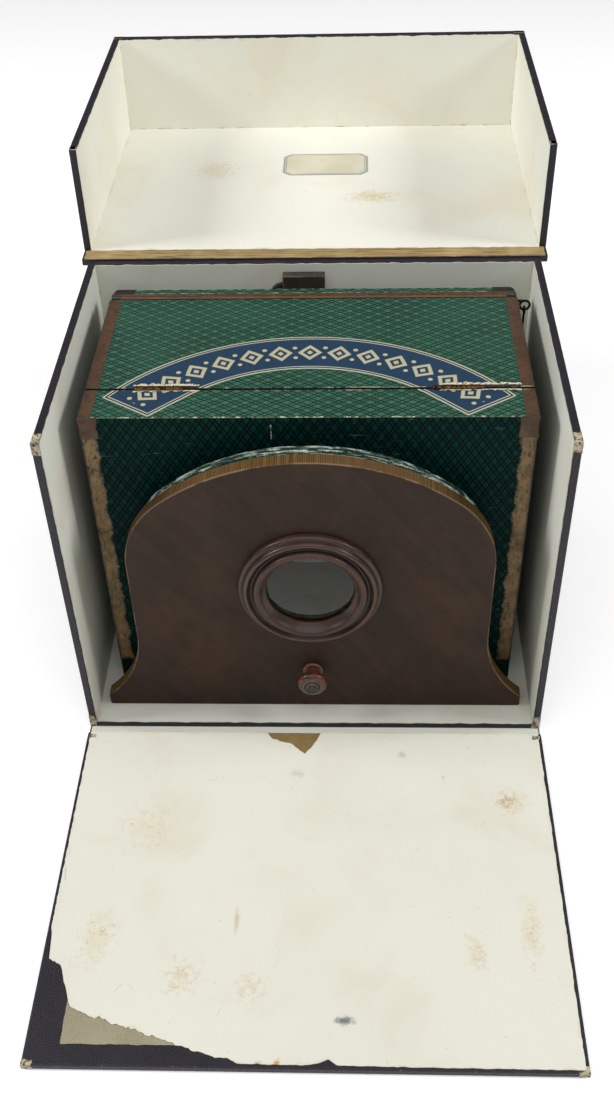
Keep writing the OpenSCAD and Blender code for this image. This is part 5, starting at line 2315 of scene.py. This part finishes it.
def closed_pair(top: Array, under: Array, quads: Array, marks: dict[str, Array]) -> Surface:
    """Joins a face set and its copy below into a closed sheet, with walls along the open border.

    A border edge is one whose reverse belongs to no face.

    Args:
        top: upper points.
        under: the same points, lower.
        quads: faces over the upper points, counter-clockwise from above.
        marks: marks of the upper points.

    Returns:
        The closed sheet without unused points.
    """
    count = len(top)
    across = np.cross(top[quads[:, 2]] - top[quads[:, 0]], top[quads[:, 3]] - top[quads[:, 1]])
    quads = quads[np.linalg.norm(across, axis=1) > 1e-5]
    edges = np.concatenate([np.stack([quads[:, i], quads[:, (i + 1) % 4]], 1) for i in range(4)])
    edges = edges[edges[:, 0] != edges[:, 1]]
    forward, backward = edges[:, 0] * count + edges[:, 1], edges[:, 1] * count + edges[:, 0]
    rim = edges[~np.isin(forward, backward)]
    walls = np.stack([rim[:, 1], rim[:, 0], rim[:, 0] + count, rim[:, 1] + count], 1)
    faces = np.vstack([quads, quads[:, ::-1] + count, walls])
    used = np.unique(faces)
    place = np.zeros(2 * count, int)
    place[used] = np.arange(len(used))
    points = np.vstack([top, under])[used]
    return Surface(points, [place[faces]], {k: np.tile(m, 2)[used] for k, m in marks.items()})


@dataclass
class LensFront(Assembly):
    """The front board with its turned lens ring, lens and knob."""

    face: float = -85.5
    thickness: float = 9.3
    foot: float = 5.2
    bore: float = 31.55
    lens_z: float = 114.5
    lens_radius: float = 29.0
    lens_half: float = 1.2
    lens_bulge: float = 2.3
    lens_depth: float = 0.09
    knob_z: float = 40.0
    spigot: float = -8.3

    def build(self) -> None:
        """The board, the turned pieces and the glass."""
        add, lens, knob = self.dresser.add, self.lens_z, self.knob_z
        bore = circle((0, lens), self.bore, np.linspace(0, 2 * np.pi, 96, endpoint=False))
        end = self.face + self.thickness
        panel = plate(OUTLINE.whole() + (0, self.foot), self.face, end, 0.7, bore, (0, lens), 30)
        add("front_board_panel", panel.laid(Facing.FRONT), BOARD_FACE, "lens_front", "front_board")
        ring = self.turned(self.ring_profile(), True, lens, 160)
        add("turned_lens_ring", ring, RING_WOOD, "lens_front", "lens_ring")
        turned_knob = self.turned(self.knob_profile(), False, knob, 96)
        add("turned_knob", turned_knob, KNOB_WOOD, "lens_front", "focus_knob")
        add("lens_glass", self.turned(self.lens_profile(), False, lens, 128), GLASS, "lens_front", "lens")
        self.dresser.dress(BRASS, "lens_retainer")
        self.dresser.dress(SAWN, "focus_tongue")

    def turned(self, profile: Array, looped: bool, height: float, segments: int) -> Surface:
        """A profile turned about the axis of the lens or the knob, its height 0 on the board's face."""
        return revolve(profile, looped, segments).laid(Facing.LENS, (0, self.face, height))

    def ring_profile(self) -> Array:
        """Counter-clockwise section of the ring: spigot, rim bead, hollow, inner bead, bevel and lip.

        Returns:
            Points of (radius, height).
        """
        outside = [
            (31.5, self.spigot), (31.5, 0.02), (44.2, 0.02), (44.6, 0.6), (44.7, 1.6), (44.6, 3.0),
            (44.0, 4.0), (42.8, 4.6),
        ]
        ridge = [(42.2, 4.5), (41.9, 4.9), (41.7, 6.3), (41.0, 7.4), (39.8, 7.9), (38.9, 7.4), (38.3, 6.2)]
        hollow = [(37.2, 5.1), (36.0, 4.9), (35.3, 5.6), (35.0, 7.4)]
        bead = [(34.3, 8.6), (33.2, 9.0), (31.9, 8.8), (30.9, 7.8)]
        bevel = [(30.2, 6.6), (29.2, 5.3), (27.9, 4.2), (27.3, 3.6)]
        lip = [(27.3, 1.7), (28.2, 1.6), (29.05, 1.6), (29.05, self.spigot)]
        return smooth_profile([*outside, *ridge, *hollow, *bead, *bevel, *lip], 2, True)

    def knob_profile(self) -> Array:
        """Section of the knob: shank, collar, neck, round head and the rings on its face.

        Returns:
            Points of (radius, height).
        """
        shank = [(0, self.spigot), (2.9, self.spigot), (3.0, -0.2)]
        collar = [(6.3, 0.0), (6.6, 0.5), (6.5, 1.4), (5.9, 1.9), (4.3, 2.3)]
        neck = [(3.7, 3.2), (3.6, 5.2), (4.1, 7.2), (6.0, 8.4)]
        head = [(8.4, 9.4), (9.5, 10.8), (9.7, 12.2), (9.3, 13.6), (8.3, 14.7), (7.1, 15.2), (6.9, 15.0)]
        ring = [(6.6, 15.6), (6.1, 16.0), (5.3, 15.9), (4.8, 15.4), (4.3, 15.7), (3.9, 16.4), (3.1, 16.6)]
        button = [(2.4, 16.2), (2.0, 16.6), (1.5, 17.3), (0.8, 17.5), (0, 17.5)]
        return smooth_profile([*shank, *collar, *neck, *head, *ring, *button], 2)

    def lens_profile(self) -> Array:
        """Section of the lens: two shallow arcs and a rim.

        Returns:
            Points of (radius, height).
        """
        r = np.linspace(0, self.lens_radius, 40)
        height = self.lens_half + self.lens_bulge * (1 - (r / self.lens_radius) ** 2)
        back = np.column_stack([r, self.lens_depth - height])
        front = np.column_stack([r, self.lens_depth + height])
        return np.vstack([back, front[::-1]])


@dataclass
class Bellows(Assembly):
    """The pleated neck between the box and the front board."""

    board_back: float = -76.2
    box_front: float = -61.2
    foot: float = 5.2
    base: float = 12.0
    pleats: int = 4
    rows: int = 10
    inset: float = 4.0
    depth: float = 8.0
    wall: float = 1.0

    def build(self) -> None:
        """One closed pleated shell between the front board and the box."""
        made = make_object("pleated_bellows", self.surface())
        made.data.materials.append(self.dresser.material(PLEAT_PAPER))
        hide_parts("bellows")
        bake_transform(made)
        LOG.info("pleated_bellows: %d points", len(made.data.vertices))

    def surface(self) -> Surface:
        """Rows of the arch, each drawn inwards by a rounded zigzag.

        Row j lies at depth j / n, and its inset is the least inset plus the pleat depth times the
        distance of its phase from the pleat's edge, eased at the fold. The wall's inner side follows.

        Returns:
            The shell.
        """
        count = self.pleats * self.rows + 1
        fold = np.abs(2 * (np.linspace(0, self.pleats, count) % 1) - 1)
        fold = np.sqrt(fold**2 + 0.004) - 0.02
        crumple = ragged(171, 0.35, 60, 3)
        outer, inner = [], []
        for j in range(count):
            y = self.board_back + 0.1 + (self.box_front - self.board_back - 0.2) * j / (count - 1)
            inset = self.inset + self.depth * fold[j]
            line, slim = self.ring(inset), self.ring(inset + self.wall)
            wave = crumple(np.arange(len(line)) * 1.4 + 30 * j / count)[:, None]
            wave = wave * outward(line) * (1 - fold[j])
            outer.append(np.insert(line + wave, 1, y, 1))
            inner.append(np.insert(slim, 1, y, 1))
        rows = np.array(outer + inner[::-1])
        points, faces, order = skin(rows, True)
        shape = rows.shape[:2]
        rim = np.concatenate([fold, fold[::-1]])[:, None] * 5.5
        run = np.arange(shape[1]) * 1.6
        marks = {"rim": order(np.broadcast_to(rim, shape)), "run": order(np.broadcast_to(run, shape))}
        return Surface(points, [f[:, ::-1] for f in faces], marks)

    def ring(self, inset: float) -> Array:
        """The arch at an inset, with the same number of points each time.

        Args:
            inset: how far inside the board's own outline it lies.

        Returns:
            The closed row.
        """
        full = OUTLINE.arch(inset, self.base + inset - self.inset) + (0, self.foot)
        sill = np.linspace(full[0], full[1], 40)
        right = np.linspace(full[1], full[2], 24)[1:-1]
        left = np.linspace(full[-1], full[0], 24)[1:-1]
        return np.vstack([sill, right, full[2:], left])


# Stage


@dataclass
class Studio(Assembly):
    """The floor, the lights and the camera."""

    focal_pixels: float = 1230.5
    image_height: float = 1100
    sensor: float = 36.0
    place: Triple = (25.45, -635.96, 637.9)
    pitch: float = 41.812
    yaw: float = -2.077
    floor_half: float = 6000.0
    floor_z: float = -0.4
    target: Triple = (0, 0.1, 0.15)
    surround: float = 0.17

    def build(self) -> None:
        """Sets the stage."""
        self.floor()
        self.light("left_softbox", (-1.9, -0.1, 1.5), 0.7, 34)
        self.light("right_softbox", (1.9, -0.1, 1.5), 0.7, 32)
        self.light("overhead_softbox", (0, -1.3, 2.3), 2.4, 28)
        self.world()
        self.camera()

    def floor(self) -> None:
        """A wide pale sheet just under the object."""
        flat = np.insert(rectangle(*(-self.floor_half, self.floor_half) * 2), 2, self.floor_z, 1)
        made = make_object("studio_floor", Surface(flat, [np.array([[0, 1, 2, 3]])]))
        made.data.materials.append(self.dresser.material(STUDIO_SHEET))

    def light(self, name: str, place: Sequence[float], size: float, power: float) -> None:
        """A square soft light that faces the object.

        Args:
            name: its name.
            place: where it hangs, in metres.
            size: its side.
            power: its power in watts.
        """
        data = bpy.data.lights.new(name, "AREA")
        data.shape, data.size, data.energy = "SQUARE", size, power
        made = bpy.data.objects.new(name, data)
        made.location = place
        aim = np.array(self.target, float) - np.array(place, float)
        made.rotation_euler = (math.acos(-aim[2] / np.linalg.norm(aim)), 0, math.atan2(-aim[0], aim[1]))
        bpy.context.scene.collection.objects.link(made)

    def world(self) -> None:
        """Even white surroundings."""
        world = bpy.data.worlds.new("studio")
        world.use_nodes = True
        background = world.node_tree.nodes["Background"].inputs
        background["Color"].default_value = (1, 1, 1, 1)
        background["Strength"].default_value = self.surround
        scene = bpy.context.scene
        scene.world = world
        scene.view_settings.view_transform = "Standard"

    def camera(self) -> None:
        """The camera at the photograph's place. Its axes are right, up and backwards."""
        pitch, yaw = math.radians(self.pitch), math.radians(self.yaw)
        ahead = np.array((0, math.cos(pitch), -math.sin(pitch)))
        right = np.array((1.0, 0, 0))
        forward = ahead * math.cos(yaw) + right * math.sin(yaw)
        right = right * math.cos(yaw) - ahead * math.sin(yaw)
        data = bpy.data.cameras.new("camera")
        data.sensor_width, data.lens = self.sensor, self.focal_pixels * self.sensor / self.image_height
        data.clip_start, data.clip_end = 0.02, 50
        made = bpy.data.objects.new("camera", data)
        matrix = np.eye(4)
        matrix[:3] = np.column_stack([right, np.cross(right, forward), -forward, np.array(self.place) * MM])
        made.matrix_world = Matrix(matrix.tolist())
        bpy.context.scene.collection.objects.link(made)
        bpy.context.scene.camera = made


def main() -> None:
    """Builds the looks in order."""
    logging.basicConfig(level=logging.INFO, format="%(message)s")
    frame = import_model()
    dresser = Dresser(frame["nodes"])
    for assembly in (Case, DropFront, Lid, Viewer, LensFront, Bellows, Studio):
        LOG.info("%s", assembly.__name__)
        assembly(dresser).build()


if __name__ == "__main__":
    main()
